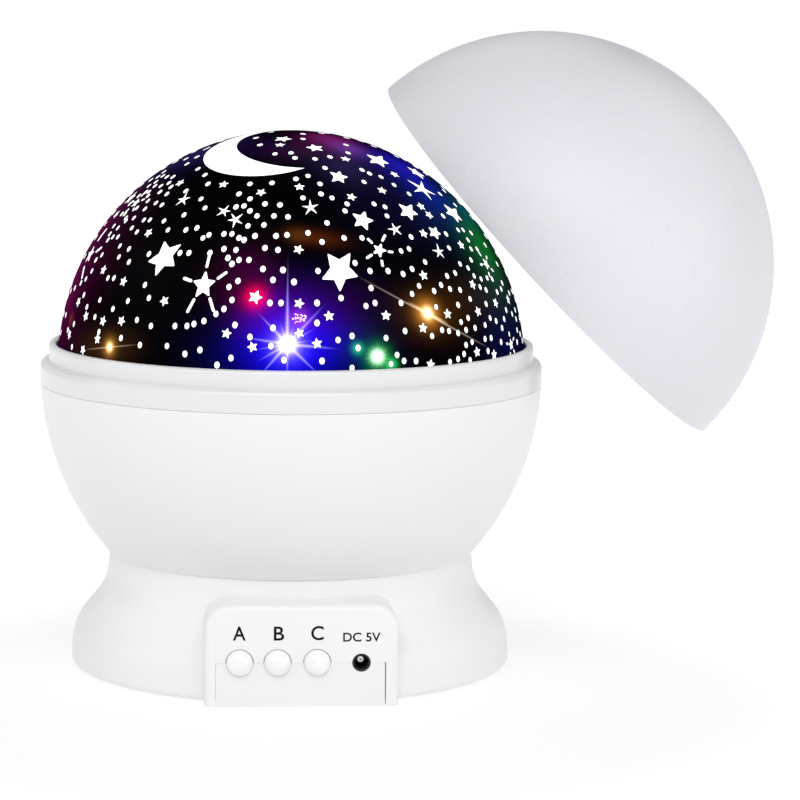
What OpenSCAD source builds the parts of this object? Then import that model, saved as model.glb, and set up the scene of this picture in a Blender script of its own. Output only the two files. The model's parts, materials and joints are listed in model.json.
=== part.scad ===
// Star night light projector. A bowl with a black star dome turns on a flared
// base, driven by a small gearbox, around a fixed post that carries the LEDs.
// A loose hemispherical cover turns the lamp into a plain night light.
// Millimetres. Origin: lamp axis at the standing plane. Console faces -Y.

/* [Bowl and top ring] */
// Widest radius of the bowl and of the top ring
bowl_r = 64; // [63.8:0.1:64.4]
// Height of the bowl's widest level
bowl_eq_z = 76; // [75.5:0.5:76.5]
// Vertical half axis of the bowl's oval section
bowl_drop = 68.3; // [67.8:0.1:69]
// Wall thickness of bowl and base
wall = 2; // [1.8:0.1:2.2]
// Height of the parting line between bowl and top ring
part_z = 72.5; // [72.4:0.1:72.6]
// Height of the top ring's shoulder
shoulder_z = 78.3; // [78.2:0.1:78.4]
// Outer radius of the collar that locates the cover
collar_r = 61.8; // [61.7:0.1:61.9]
// Height of the collar above the shoulder
collar_h = 4.4; // [4.3:0.1:4.5]

/* [Base] */
// Radius of the foot
foot_r = 56.3; // [56:0.1:56.8]
// Radius of the neck
neck_r = 46.4; // [46.2:0.1:46.8]
// Height at the middle of the flare
flare_z = 15.8; // [15.4:0.1:16.2]
// Softness of the flare
flare_w = 2.9; // [2.7:0.1:3.1]
// Height of the top of the neck
neck_z = 29.2; // [29.1:0.1:29.3]
// Thickness of the bottom cover's plate
plate_t = 2; // [1.8:0.1:2.2]

/* [Console] */
// Width of the console
console_w = 46.4; // [46:0.1:47]
// Height of the console's top
console_h = 25.7; // [25.4:0.1:26]
// Distance of the console's face from the lamp axis
console_y = 56.6; // [56.5:0.1:57]
// Radius of the console's upper corners
console_cr = 6; // [5:0.5:7]
// Height of the button and socket centres
button_z = 11; // [10.8:0.1:11.2]
// Diameter of a button
button_d = 6.5; // [6.3:0.1:6.6]
// Height by which a button stands out
button_out = 2.3; // [2:0.1:2.5]

/* [Star dome] */
// Outer radius of the star dome
dome_r = 59.5; // [59.3:0.1:59.6]
// Wall thickness of the star dome
dome_t = 1.5; // [1.2:0.1:1.6]
// Height of the star dome's centre
dome_z = 76.9; // [76.7:0.1:77.1]

/* [Cover] */
// Outer radius of the cover's sphere
cover_r = 63.75; // [63.7:0.05:64]
// Wall thickness of the cover
cover_t = 1.5; // [1.4:0.1:1.5]
// Height of the cut above the sphere's centre
cover_cut = 2.65; // [2.5:0.05:2.8]
// Radius of the cylindrical mouth that goes over the collar
mouth_r = 62.2; // [62.15:0.05:62.25]

/* [Light] */
// Outer radius of the LED post
post_r = 9; // [9:0.1:9]
// Height of the LED board's underside
led_z = 71; // [70.9:0.1:71.1]
// Diameter of an LED
led_d = 5; // [4.8:0.1:5]

/* [Gears] */
// Module of the ring gear and the drive pinion
ring_m = 0.8; // [0.8:0.1:0.8]
// Teeth of the ring gear
ring_n = 60; // [60:1:60]
// Teeth of the drive pinion
drive_n = 12; // [12:1:12]
// Module of the gears in the gearbox
box_m = 0.4; // [0.4:0.1:0.4]
// Teeth of each large gear in the gearbox
big_n = 40; // [40:1:40]
// Teeth of each small gear in the gearbox
small_n = 10; // [10:1:10]

/* [Batteries] */
// Diameter of one AAA cell
cell_d = 10.4; // [10.2:0.1:10.5]
// Overall length of one AAA cell
cell_l = 44.4; // [44:0.1:44.5]

/* [Hidden] */
$fn = 96;
e = 0.01;

// heights
base_z0 = 0.25;
deck_z0 = 23.5;
deck_z1 = 25.5;
bowl_z0 = 29.6;
floor_z0 = 30;
floor_z1 = 32;
foot_round = 1.8;
collar_in = 59.7;

// gearbox axes, an even pitch of gear_a between meshing axes
gear_a = box_m * (big_n + small_n) / 2;
ax_out = [0, ring_m * (ring_n + drive_n) / 2];
ax_1 = ax_out + gear_a * [-1, 0];
ax_2 = ax_1 + gear_a * [cos(-60), sin(-60)];
ax_m = ax_2 + gear_a * [cos(30), sin(30)];

// where things sit
button_x = [-14.6, -5.5, 3.75];
jack_x = 14.4;
tongue_w = 40.8;
gap = 0.2;
bottom_screw_at = [[-36, -20], [36, -20], [-30, 30], [30, 30]];
box_screw_at = [[-22.5, 24], [13.5, 35], [19.6, 20.4]];
board_screw_x = [-16.5, 16.5];
board_screw_z = 18.6;
post_screw_a = [30, 150, 270];
ring_screw_a = [0, 120, 240];
bay_x = 24.9;
bay_y0 = -38.2;
bay_y1 = 6.4;
bay_z1 = 14.4;
cell_y = [-32.6, -21.5, -10.4, 0.7];
cell_z = 8.9;
door_pivot = [-36.8, 2.6];
cover_at = [72.8, 61.6, 98.3];
cover_turn = [7, 45.9, 0];

// ---------- curves ----------

// outer radius of the bowl at height z
function bowl_ro(z) = bowl_r * sqrt(1 - pow((z - bowl_eq_z) / bowl_drop, 2));

// outer radius of the base at height z
function base_ro(z) = neck_r + (foot_r - neck_r) / (1 + exp((z - flare_z) / flare_w));

// outer radius of the base with its rounded lower edge
function base_edge(z) = let(h = z - base_z0)
  h < foot_round
    ? base_ro(z) - foot_round + sqrt(max(0, pow(foot_round, 2) - pow(foot_round - h, 2)))
    : base_ro(z);

// points [radius, height] along a curve
function base_curve(z0, z1, n, less = 0) =
  [for (i = [0:n]) let(z = z0 + (z1 - z0) * i / n) [base_edge(z) - less, z]];
function bowl_curve(z0, z1, n, less = 0) =
  [for (i = [0:n]) let(z = z0 + (z1 - z0) * i / n) [bowl_ro(z) - less, z]];
function arc(c, r, a0, a1, n) =
  [for (i = [0:n]) let(a = a0 + (a1 - a0) * i / n) c + r * [cos(a), sin(a)]];

// ---------- gear teeth ----------

pa = 25;
function inv(a) = tan(a) * 180 / PI - a;
// half of a tooth's angle at radius r
function half_tooth(r, n, m, play) = let(rp = m * n / 2, rb = rp * cos(pa))
  90 / n - play / (2 * rp) * 180 / PI + inv(pa) - (r > rb ? inv(acos(rb / r)) : 0);
function tooth(n, m, play, at) = let(rp = m * n / 2, rb = rp * cos(pa),
    rr = rp - 1.05 * m, ro = rp + 0.8 * m, r0 = max(rb, rr + 0.02))
  let(rs = [for (i = [0:4]) r0 + (ro - r0) * i / 4])
  concat(
    [rr * [cos(at - half_tooth(r0, n, m, play)), sin(at - half_tooth(r0, n, m, play))]],
    [for (r = rs) r * [cos(at - half_tooth(r, n, m, play)), sin(at - half_tooth(r, n, m, play))]],
    [for (i = [4:-1:0]) rs[i] * [cos(at + half_tooth(rs[i], n, m, play)), sin(at + half_tooth(rs[i], n, m, play))]],
    [rr * [cos(at + half_tooth(r0, n, m, play)), sin(at + half_tooth(r0, n, m, play))]]);
// one spur gear, tooth 0 pointing along angle turn
module gear(n, m, turn, h, play = 0.06) {
  linear_extrude(h)
    polygon([for (k = [0:n - 1]) each tooth(n, m, play, turn + 360 * k / n)]);
}

// ---------- small helpers ----------

module at2(p, z) { translate([p[0], p[1], z]) children(); }
module tube(ro, ri, h) {
  difference() {
    cylinder(r = ro, h = h);
    translate([0, 0, -1]) cylinder(r = ri, h = h + 2);
  }
}
// pan head screw pointing up, head underside at z = 0
module screw_up(r, l, hr, hh) {
  cylinder(r = r, h = l);
  difference() {
    translate([0, 0, -hh]) cylinder(r = hr, h = hh);
    for (a = [0, 90]) rotate(a) translate([-hr * 0.6, -0.2, -hh - 1]) cube([hr * 1.2, 0.4, 1.5]);
  }
}
// a swept round wire through the points p
function unit(v) = v / norm(v);
function tangent(p, i) = unit(p[min(i + 1, len(p) - 1)] - p[max(i - 1, 0)]);
function ring_at(p, i, r, s, up) = let(t = tangent(p, i), u = unit(cross(t, up)), v = cross(t, u))
  [for (k = [0:s - 1]) p[i] + r * (cos(360 * k / s) * u + sin(360 * k / s) * v)];
module wire(p, r, s = 8, up = [1, 0.31, 0.17]) {
  n = len(p);
  polyhedron(
    points = [for (i = [0:n - 1]) each ring_at(p, i, r, s, up)],
    faces = concat(
      [[for (k = [0:s - 1]) k]],
      [for (i = [0:n - 2]) for (k = [0:s - 1]) let(a = i * s + k, b = i * s + (k + 1) % s) [a, a + s, b + s, b]],
      [[for (k = [s - 1:-1:0]) (n - 1) * s + k]]));
}
// smooth curve through hand-set points
function cr(a, b, c, d, t) = 0.5 * ((2 * b) + (c - a) * t + (2 * a - 5 * b + 4 * c - d) * t * t + (3 * b - a - 3 * c + d) * t * t * t);
function smooth(p, k) = let(n = len(p))
  concat([for (i = [0:n - 2]) for (j = [0:k - 1])
    cr(p[max(i - 1, 0)], p[i], p[i + 1], p[min(i + 2, n - 1)], j / k)], [p[n - 1]]);

// front outline with rounded upper corners, lower edge at y = 0
module console_outline(w, h, r) {
  translate([-w / 2, 0]) square([w, h - r]);
  translate([-w / 2 + r, 0]) square([w - 2 * r, h]);
  for (s = [-1, 1]) translate([s * (w / 2 - r), h - r]) circle(r);
}
// a shape drawn in X and Z, standing from y = y0 out to y = y0 - d
module from_front(y0, z0, d) { translate([0, y0, z0]) rotate([90, 0, 0]) linear_extrude(d) children(); }
// a cylinder along Y from y0 (front) to y1 (back)
module rod_y(x, z, y0, y1, r) { translate([x, y1, z]) rotate([90, 0, 0]) cylinder(r = r, h = y1 - y0); }

// ---------- base ----------

module console_solid() {
  from_front(-38, base_z0, console_y - 38 - 1.6) console_outline(console_w, console_h - base_z0, console_cr);
  for (i = [0:3]) let(k = [0, 0.25, 0.7, 1.4][i])
    from_front(-console_y + 1.6 - 0.4 * i + e, base_z0 + k * 0.5, 0.4 + e)
      console_outline(console_w - 2 * k, console_h - base_z0 - 1.5 * k, console_cr - k * 0.6);
}

module base_shell() color("white") difference() {
  union() {
    difference() {
      union() {
        rotate_extrude($fn = 160) polygon(concat([[0, base_z0]],
          base_curve(base_z0, base_z0 + foot_round, 6),
          base_curve(base_z0 + foot_round + 0.8, neck_z - 0.3, 24),
          [[base_ro(neck_z) - 0.3, neck_z], [0, neck_z]]));
        console_solid();
      }
      // inside of the foot
      rotate_extrude($fn = 160) polygon(concat([[0, -1], [53, -1], [53, 3.4]],
        [for (i = [0:16]) let(z = 3.6 + (deck_z0 - 3.6) * i / 16) [base_ro(z) - wall, z]],
        [[0, deck_z0]]));
      // well inside the neck
      translate([0, 0, deck_z1]) cylinder(r = neck_r - wall, h = 10, $fn = 160);
      // inside of the console
      translate([-console_w / 2 + 2.6, -console_y + wall, -1]) cube([console_w - 5.2, 20, 24.2]);
      // cut-out for the bottom cover's tongue
      translate([-tongue_w / 2 - gap, -console_y - 1, -1]) cube([tongue_w + 2 * gap + 0.2, 6, button_z + 1 + gap / 2]);
    }
    // bosses for the bottom screws
    for (p = bottom_screw_at) at2(p, 3) cylinder(r = 2.8, h = deck_z0 - 3 + e);
    // bosses for the gearbox screws, on top of the deck
    for (p = box_screw_at) at2(p, deck_z0) cylinder(r = 2.2, h = 4.6);
    // bosses for the post screws
    for (a = post_screw_a) rotate(a) translate([11.6, 0, 18.5]) cylinder(r = 2.2, h = 6);
    // posts for the control board
    for (x = board_screw_x) rod_y(x, board_screw_z, -console_y + wall - e, -47.6, 2.2);
  }
  for (p = bottom_screw_at) at2(p, 2) cylinder(r = 1.15, h = 11);
  for (p = box_screw_at) at2(p, deck_z0 - 1) cylinder(r = 0.9, h = 5);
  for (a = post_screw_a) rotate(a) translate([11.6, 0, 19.5]) cylinder(r = 0.9, h = 8);
  for (x = board_screw_x) rod_y(x, board_screw_z, -53.6, -46, 0.9);
  // button and socket holes, upper half here
  for (x = button_x) rod_y(x, button_z, -console_y - 3, -50, button_d / 2 + 0.25);
  rod_y(jack_x, button_z, -console_y - 3, -50, 2.35);
  // openings in the deck: wires, output shaft
  translate([0, 0, deck_z0 - 1]) cylinder(r = 6, h = 4);
  at2(ax_out, deck_z0 - 1) cylinder(r = 2.2, h = 4);
}

module bottom_cover() color("white") difference() {
  union() {
    translate([0, 0, 1]) cylinder(r = 52.8, h = plate_t, $fn = 160);
    // standing rim
    tube(51, 48, 1 + e, $fn = 160);
    // battery bay
    translate([-bay_x - 1.6, bay_y0 - 1.2, 1]) cube([2 * bay_x + 3.2, bay_y1 - bay_y0 + 2.4, 14.6]);
    // tongue under the buttons
    translate([-tongue_w / 2, -console_y, 0.6]) cube([tongue_w, wall, button_z - 0.6]);
    translate([-tongue_w / 2, -console_y, 0.6]) cube([tongue_w, 10, 2.4]);
    // rib that holds the motor up
    at2(ax_m, 1) tube(9, 7.6, 2.6);
  }
  // inside of the bay, open to the door
  translate([-bay_x, bay_y0, -1]) cube([2 * bay_x, bay_y1 - bay_y0, bay_z1 + 1]);
  // finger recess beside the catch
  translate([-6, bay_y1 - 1, 0]) cube([12, 3.2, 2]);
  // pivot holes of the door
  translate([-bay_x - 1.1, door_pivot[0], door_pivot[1]]) rotate([0, 90, 0]) cylinder(r = 0.85, h = 2 * bay_x + 2.2);
  // slots for the two end contacts
  for (y = [cell_y[0], cell_y[3]]) translate([-bay_x - 3, y - 1.6, 9]) cube([4, 3.2, 0.6]);
  // screw holes and head recesses
  for (p = bottom_screw_at) at2(p, 0) { cylinder(r = 1.35, h = 5); cylinder(r = 2.6, h = 2.2); }
  // button and socket holes, lower half here
  for (x = button_x) rod_y(x, button_z, -console_y - 3, -50, button_d / 2 + 0.25);
  rod_y(jack_x, button_z, -console_y - 3, -50, 2.35);
}

module bottom_screws() color("silver") for (p = bottom_screw_at) at2(p, 2.2) screw_up(1.15, 9, 2.2, 1.1);

module battery_door() color("whitesmoke") {
  difference() {
    union() {
      translate([-bay_x + 0.3, door_pivot[0] + 0.8, 1]) cube([2 * bay_x - 0.6, bay_y1 - 1.1 - door_pivot[0], 1.6]);
      // barrel and pivot pins
      translate([-bay_x + 0.3, door_pivot[0], door_pivot[1]]) rotate([0, 90, 0]) cylinder(r = 1.2, h = 2 * bay_x - 0.6);
      translate([-bay_x - 0.9, door_pivot[0], door_pivot[1]]) rotate([0, 90, 0]) cylinder(r = 0.8, h = 2 * bay_x + 1.8);
      // stiffening ribs
      for (x = [-15, 0, 15]) translate([x - 0.5, -30, 2.5]) cube([1, 32, 0.8]);
      // spring catch
      translate([-5, bay_y1 - 1.9, 2.5]) cube([10, 1.2, 2.4]);
    }
    // grip lines
    for (i = [0:4]) translate([-8, -1 - 2.2 * i, 0.5]) cube([16, 0.9, 0.9]);
  }
}

// one AAA cell along X, centre of its length at the origin
module cell(face) color("goldenrod") rotate([0, 90 * face, 0]) {
  translate([0, 0, -cell_l / 2]) cylinder(r = cell_d / 2, h = cell_l - 0.8);
  translate([0, 0, cell_l / 2 - 0.9]) cylinder(r = 1.9, h = 0.9);
}
function cell_face(i) = i % 2 == 0 ? 1 : -1;
module battery(i) translate([cell_face(i) * 2.1, cell_y[i], cell_z]) cell(cell_face(i));
module battery_1() battery(0);
module battery_2() battery(1);
module battery_3() battery(2);
module battery_4() battery(3);

// conical contact springs at the flat end of each cell
module battery_springs() color("silver") for (i = [0:3]) let(f = cell_face(i))
  translate([-f * (bay_x - 0.45 - 0.3), cell_y[i], cell_z]) rotate([0, 90 * f, 0])
    wire([for (k = [0:30]) let(t = k / 30) [(3.4 - 1.6 * t) * cos(1080 * t), (3.4 - 1.6 * t) * sin(1080 * t), 3.75 * t]],
      0.28, 6, [0, 0, 1]);

module battery_contacts() color("silver") {
  for (c = [[-1, 0, 0], [-1, 1, 2], [-1, 3, 3], [1, 0, 1], [1, 2, 3]])
    translate([c[0] > 0 ? bay_x - 0.42 : -bay_x + 0.02, cell_y[c[1]] - 4, cell_z - 4])
      cube([0.4, cell_y[c[2]] - cell_y[c[1]] + 8, 8]);
  // solder tabs of the two end contacts
  for (y = [cell_y[0], cell_y[3]]) translate([-bay_x - 3.4, y - 1.5, 9.1]) cube([3.6, 3, 0.4]);
}

module control_board() color("darkgreen") difference() {
  translate([-19.4, -47.6, 4]) cube([38.8, 1.6, 17.8]);
  for (x = board_screw_x) rod_y(x, board_screw_z, -48, -45, 1.0);
}
module control_chip() color("black") translate([-3, -46, 8.5]) {
  cube([6, 1.5, 5]);
  for (i = [0:3]) for (s = [-1, 1]) translate([0.6 + 1.4 * i, 0, s > 0 ? 4.9 : -0.9]) cube([0.5, 0.4, 1]);
}
module board_screws() color("silver") for (x = board_screw_x)
  translate([x, -46, board_screw_z]) rotate([90, 0, 0]) screw_up(0.9, 7, 1.8, 1.2);

module switch_bodies() color("black") for (x = button_x) difference() {
  translate([x - 3, -51.1, button_z - 3]) cube([6, 3.5, 6]);
  rod_y(x, button_z, -52, -49.4, 1.8);
}
module switch_plunger(x) color("dimgray") rod_y(x, button_z, -52.3, -50.2, 1.7);
module switch_plunger_a() switch_plunger(button_x[0]);
module switch_plunger_b() switch_plunger(button_x[1]);
module switch_plunger_c() switch_plunger(button_x[2]);

// domed button cap on its flange and stem
module button(x) color("white") translate([x, -console_y, button_z]) rotate([90, 0, 0]) rotate_extrude($fn = 96) {
  h = button_out; r = button_d / 2; rs = (r * r + h * h) / (2 * h);
  intersection() {
    translate([0, h - rs]) circle(rs);
    square([r, h]);
  }
  translate([0, -2.3]) square([r, 2.3 + e]);
  translate([0, -3.2]) square([4.1, 1.15]);
  translate([0, -4.3]) square([1.5, 1.2]);
}
module button_a() button(button_x[0]);
module button_b() button(button_x[1]);
module button_c() button(button_x[2]);

module dc_socket() color("black") difference() {
  union() {
    rod_y(jack_x, button_z, -console_y + 0.15, -53, 2.25);
    translate([jack_x - 3.1, -54.4, button_z - 3.2]) cube([6.2, 6.8, 6.4]);
  }
  rod_y(jack_x, button_z, -console_y - 1, -48.6, 1.8);
}
module dc_pin() color("silver") {
  rod_y(jack_x, button_z, -52.4, -48.6, 0.6);
  translate([jack_x, -52.4, button_z]) sphere(0.6, $fn = 32);
}

// ---------- light ----------

module led_post() color("white") difference() {
  union() {
    translate([0, 0, deck_z1]) cylinder(r = 14.2, h = 1.8);
    translate([0, 0, deck_z1]) cylinder(r = post_r, h = led_z - deck_z1);
  }
  translate([0, 0, deck_z1 - 1]) cylinder(r = 7.2, h = 60);
  // groove for the clip
  translate([0, 0, 40.2]) tube(post_r + 1, 8.2, 0.8);
  for (a = post_screw_a) rotate(a) translate([11.6, 0, deck_z1 - 1]) cylinder(r = 1, h = 4);
}
module post_screws() color("silver") for (a = post_screw_a) rotate(a)
  translate([11.6, 0, deck_z1 + 1.8]) rotate([180, 0, 0]) screw_up(0.9, 7, 1.7, 1.1);
module post_clip() color("gray") translate([0, 0, 40.25]) difference() {
  tube(11, 8.2, 0.7);
  translate([0, -3.5, -1]) cube([20, 7, 3]);
}
module led_board() color("white") translate([0, 0, led_z]) cylinder(r = 10.5, h = 1.6);

module led(x, y, c) color(c, 0.8) translate([x, y, led_z + 1.6]) {
  cylinder(r = led_d / 2 + 0.4, h = 1);
  cylinder(r = led_d / 2, h = 6.1);
  translate([0, 0, 6.1]) sphere(led_d / 2, $fn = 48);
}
module led_white() led(3.3, -3.3, "white");
module led_red() led(-3.3, -3.3, "red");
module led_green() led(3.3, 3.3, "green");
module led_blue() led(-3.3, 3.3, "blue");

module slide_ring() color("ivory") translate([0, 0, deck_z1]) tube(43.6, 40.4, 0.6, $fn = 160);

// ---------- drive ----------

module motor_can() color("silver") difference() {
  union() {
    at2(ax_m, 4.8) cylinder(r = 12.1, h = 10.8);
    at2(ax_m, 15.5) cylinder(r = 3, h = 1.2);
  }
  at2(ax_m, 9) cylinder(r = 1.06, h = 10);
}
module motor_end_cap() color("ivory") {
  at2(ax_m, 3.6) cylinder(r = 11.6, h = 1.2);
  for (s = [-1, 1]) at2(ax_m, 3.7) rotate(30) translate([s * 7 - 0.8, -13.4, 0]) cube([1.6, 3, 0.5]);
}
module motor_shaft() color("silver") at2(ax_m, 9.4) cylinder(r = 1, h = 9.1);
module motor_pinion() color("gold") difference() {
  at2(ax_m, 17) gear(small_n, box_m, 228, 1.5);
  at2(ax_m, 16) cylinder(r = 1, h = 4);
}

module box_outline(less) {
  for (p = [ax_out, ax_1, ax_2]) translate(p) circle(10 - less);
  translate(ax_m) circle(5 - less);
}
module box_ears(z, h) for (i = [0:2]) hull() {
  at2(box_screw_at[i], z) cylinder(r = 2.6, h = h, $fn = 32);
  at2([ax_1, ax_out, ax_m][i] + [[-6, -3], [4, 4], [5, -1]][i], z) cylinder(r = 2.6, h = h, $fn = 32);
}
module gearbox_case() color("lightgray") difference() {
  union() {
    translate([0, 0, 15.6]) linear_extrude(6.7) box_outline(0);
    // socket ring around the motor
    at2(ax_m, 10.5) cylinder(r = 13.2, h = 6.3);
  }
  translate([0, 0, 16.8]) linear_extrude(6) box_outline(1.2);
  at2(ax_m, 9) cylinder(r = 12.1, h = 6.6);
  at2(ax_m, 15) cylinder(r = 3.1, h = 3);
  for (p = [ax_1, ax_2]) at2(p, 15) cylinder(r = 0.75, h = 3);
  at2(ax_out, 15) cylinder(r = 1.05, h = 3);
}
module gearbox_lid() color("lightgray") difference() {
  union() {
    translate([0, 0, 22.3]) linear_extrude(1.2) box_outline(0);
    box_ears(22.3, 1.2);
  }
  for (p = [ax_1, ax_2]) at2(p, 21) cylinder(r = 0.75, h = 4);
  at2(ax_out, 21) cylinder(r = 1.05, h = 4);
  for (p = box_screw_at) at2(p, 21) cylinder(r = 1, h = 4);
}
module gearbox_screws() color("silver") for (p = box_screw_at) at2(p, 22.3) screw_up(0.9, 5, 1.8, 1.1);
module gear_axles() color("silver") for (p = [ax_1, ax_2]) at2(p, 15.8) cylinder(r = 0.75, h = 7.5);

module compound_gear_1() color("ivory") difference() {
  union() {
    at2(ax_1, 18.8) gear(big_n, box_m, -60, 1.5);
    at2(ax_1, 20.2) gear(small_n, box_m, 18, 1.9);
  }
  at2(ax_1, 16) cylinder(r = 0.8, h = 8);
}
module compound_gear_2() color("ivory") difference() {
  union() {
    at2(ax_2, 17) gear(big_n, box_m, 30, 1.5);
    at2(ax_2, 18.4) gear(small_n, box_m, 138, 1.9);
  }
  at2(ax_2, 16) cylinder(r = 0.8, h = 8);
}
module output_shaft() color("silver") at2(ax_out, 15.8) cylinder(r = 1, h = 13.6);
module output_gear() color("ivory") difference() {
  at2(ax_out, 20.6) gear(big_n, box_m, 180, 1.5);
  at2(ax_out, 16) cylinder(r = 1, h = 8);
}
module drive_pinion() color("ivory") difference() {
  union() {
    at2(ax_out, 26.9) gear(drive_n, ring_m, 285, 2.4, 0.1);
    at2(ax_out, 25.9) cylinder(r = 3, h = 1.1);
  }
  at2(ax_out, 25) cylinder(r = 1, h = 8);
}

// ---------- wires held inside ----------

module led_wires() color("red") wire(smooth([[-3, 0, 70.9], [-3, 0, 60], [-3, 0, 45], [-3, 0, 31],
  [-3.5, -1, 24.5], [-4.8, -5, 20.2], [-5, -14, 19], [-5, -28, 19], [-5, -40, 17.5], [-5, -45.85, 17.5]], 4), 1, 8);
module motor_wires() color("red") wire(smooth([[16.2, 17.3, 4.5], [16.25, 17.25, 6], [18.5, 15, 9.5], [19.5, 11.5, 15.5],
  [18.5, 5, 19], [15, -14, 19.3], [11, -34, 18.5], [9, -41.5, 16.5], [9, -45.85, 16.2]], 4), 0.8, 8, [1, 0.2, 0.1]);
module battery_wires() color("red") {
  wire(smooth([[-27.8, cell_y[0], 9.7], [-27.9, -33, 11.5], [-28.4, -38, 13], [-26.5, -41.4, 13.6], [-22, -43.1, 13.4],
    [-17, -43.6, 13], [-13.6, -44.4, 12.8], [-13.5, -45.7, 12.8]], 4), 0.7, 8, [1, 1, 1]);
  wire(smooth([[-27.9, cell_y[3], 9.7], [-28.4, 0, 12], [-30.5, -6, 14], [-31, -18, 15.4], [-30, -31, 16.6],
    [-25.5, -38, 17], [-17, -41, 16.8], [-10.8, -43.8, 16.2], [-10.5, -45.7, 16]], 4), 0.7, 8, [1, 1, 1]);
}

// ---------- turning part ----------

module bowl_shell() color("white") difference() {
  union() {
    rotate_extrude($fn = 160) polygon(concat(
      [[bowl_ro(bowl_z0) - 0.3, bowl_z0]],
      bowl_curve(bowl_z0 + 0.3, part_z - 0.3, 26),
      [[bowl_ro(part_z) - 0.35, part_z], [61.6, part_z], [61.6, 74], [60, 74], [60, 72], [59, 72], [59, 69.6]],
      bowl_curve(66, 34, 16, wall),
      [[bowl_ro(floor_z1) - wall - 0.6, floor_z1], [11.2, floor_z1], [11.2, 40], [post_r + 0.05, 40],
       [post_r + 0.05, floor_z0], [41, floor_z0], [41, deck_z1 + 0.65], [43, deck_z1 + 0.65], [43, floor_z0],
       [bowl_ro(bowl_z0) - 1.6, floor_z0], [bowl_ro(bowl_z0) - 1.6, bowl_z0]]));
    for (a = ring_screw_a) rotate(a) translate([19, 0, floor_z1 - e]) cylinder(r = 2.4, h = 4.5);
  }
  for (a = ring_screw_a) rotate(a) translate([19, 0, floor_z0 - 1]) cylinder(r = 0.9, h = 6.4);
}

module top_ring() color("white") rotate_extrude($fn = 160) polygon(concat(
  [[61.7, part_z], [bowl_r - 0.4, part_z], [bowl_r - 0.05, part_z + 0.3]],
  arc([bowl_r - 1.5, shoulder_z - 1.5], 1.5, 0, 90, 6),
  [[collar_r, shoulder_z]],
  arc([(collar_r + collar_in) / 2, shoulder_z + collar_h - (collar_r - collar_in) / 2], (collar_r - collar_in) / 2, 0, 180, 12),
  [[collar_in, 75.4], [61.7, 75.4]]));

module star_dome() color("black") rotate_extrude($fn = 160) difference() {
  union() {
    intersection() {
      translate([0, dome_z]) circle(dome_r);
      translate([0, dome_z]) square([dome_r + 5, dome_r + 5]);
    }
    translate([0, 74]) square([dome_r, dome_z - 74]);
    translate([0, 74]) square([61.5, 1.4]);
  }
  intersection() {
    translate([0, dome_z]) circle(dome_r - dome_t);
    translate([0, dome_z]) square([dome_r, dome_r]);
  }
  translate([0, 73]) square([dome_r - dome_t, dome_z - 73]);
}

module light_tray() color("dimgray") translate([0, 0, 72]) tube(59.8, 11.6, 0.8, $fn = 160);

module ring_gear() color("ivory") difference() {
  union() {
    translate([0, 0, 26.9]) gear(ring_n, ring_m, 90, 2.5, 0.1);
    translate([0, 0, 29.3]) cylinder(r = 22.8, h = 0.7);
  }
  translate([0, 0, 26]) cylinder(r = 15.6, h = 5);
  translate([0, 0, 26]) cylinder(r = 21.6, h = 2.4);
  for (a = ring_screw_a) rotate(a) translate([19, 0, 26]) cylinder(r = 1, h = 5);
}
module ring_gear_screws() color("silver") for (a = ring_screw_a) rotate(a)
  translate([19, 0, 28.4]) screw_up(0.9, 7, 1.8, 1.1);

// ---------- cover, lying off as it is taken off ----------

module outer_cover() color("lavender") translate(cover_at) rotate(cover_turn) rotate_extrude($fn = 160) difference() {
  intersection() {
    translate([0, -cover_cut]) circle(cover_r);
    square([cover_r + 5, cover_r + 5]);
  }
  translate([0, -cover_cut]) circle(cover_r - cover_t);
  translate([0, -1]) square([mouth_r, 5]);
}

base_shell();
bottom_cover();
bottom_screws();
battery_door();
battery_1();
battery_2();
battery_3();
battery_4();
battery_springs();
battery_contacts();
control_board();
control_chip();
board_screws();
switch_bodies();
dc_socket();
dc_pin();
button_a();
button_b();
button_c();
switch_plunger_a();
switch_plunger_b();
switch_plunger_c();
led_post();
post_screws();
post_clip();
led_board();
led_white();
led_red();
led_green();
led_blue();
slide_ring();
motor_can();
motor_end_cap();
motor_shaft();
motor_pinion();
gearbox_case();
gearbox_lid();
gearbox_screws();
gear_axles();
compound_gear_1();
compound_gear_2();
output_shaft();
output_gear();
drive_pinion();
led_wires();
motor_wires();
battery_wires();
bowl_shell();
top_ring();
star_dome();
light_tray();
ring_gear();
ring_gear_screws();
outer_cover();
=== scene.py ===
import json
import math
import random

import bmesh
import bpy
from mathutils import Matrix, Vector


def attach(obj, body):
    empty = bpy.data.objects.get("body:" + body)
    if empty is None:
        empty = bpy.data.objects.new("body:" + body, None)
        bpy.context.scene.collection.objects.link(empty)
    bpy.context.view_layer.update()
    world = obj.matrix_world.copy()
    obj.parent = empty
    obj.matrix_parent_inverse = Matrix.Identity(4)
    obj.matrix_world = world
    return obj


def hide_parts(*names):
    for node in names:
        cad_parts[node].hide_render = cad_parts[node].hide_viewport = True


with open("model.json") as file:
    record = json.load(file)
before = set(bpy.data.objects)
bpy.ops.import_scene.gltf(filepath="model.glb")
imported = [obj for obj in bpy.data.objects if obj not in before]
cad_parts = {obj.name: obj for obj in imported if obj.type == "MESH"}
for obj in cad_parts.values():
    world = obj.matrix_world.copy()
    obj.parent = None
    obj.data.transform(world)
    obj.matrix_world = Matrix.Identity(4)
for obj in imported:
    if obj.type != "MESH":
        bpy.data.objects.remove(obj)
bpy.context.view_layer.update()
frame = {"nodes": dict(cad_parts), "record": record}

scene = bpy.context.scene
S = 0.001  # the model's lengths below are in millimetres

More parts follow.
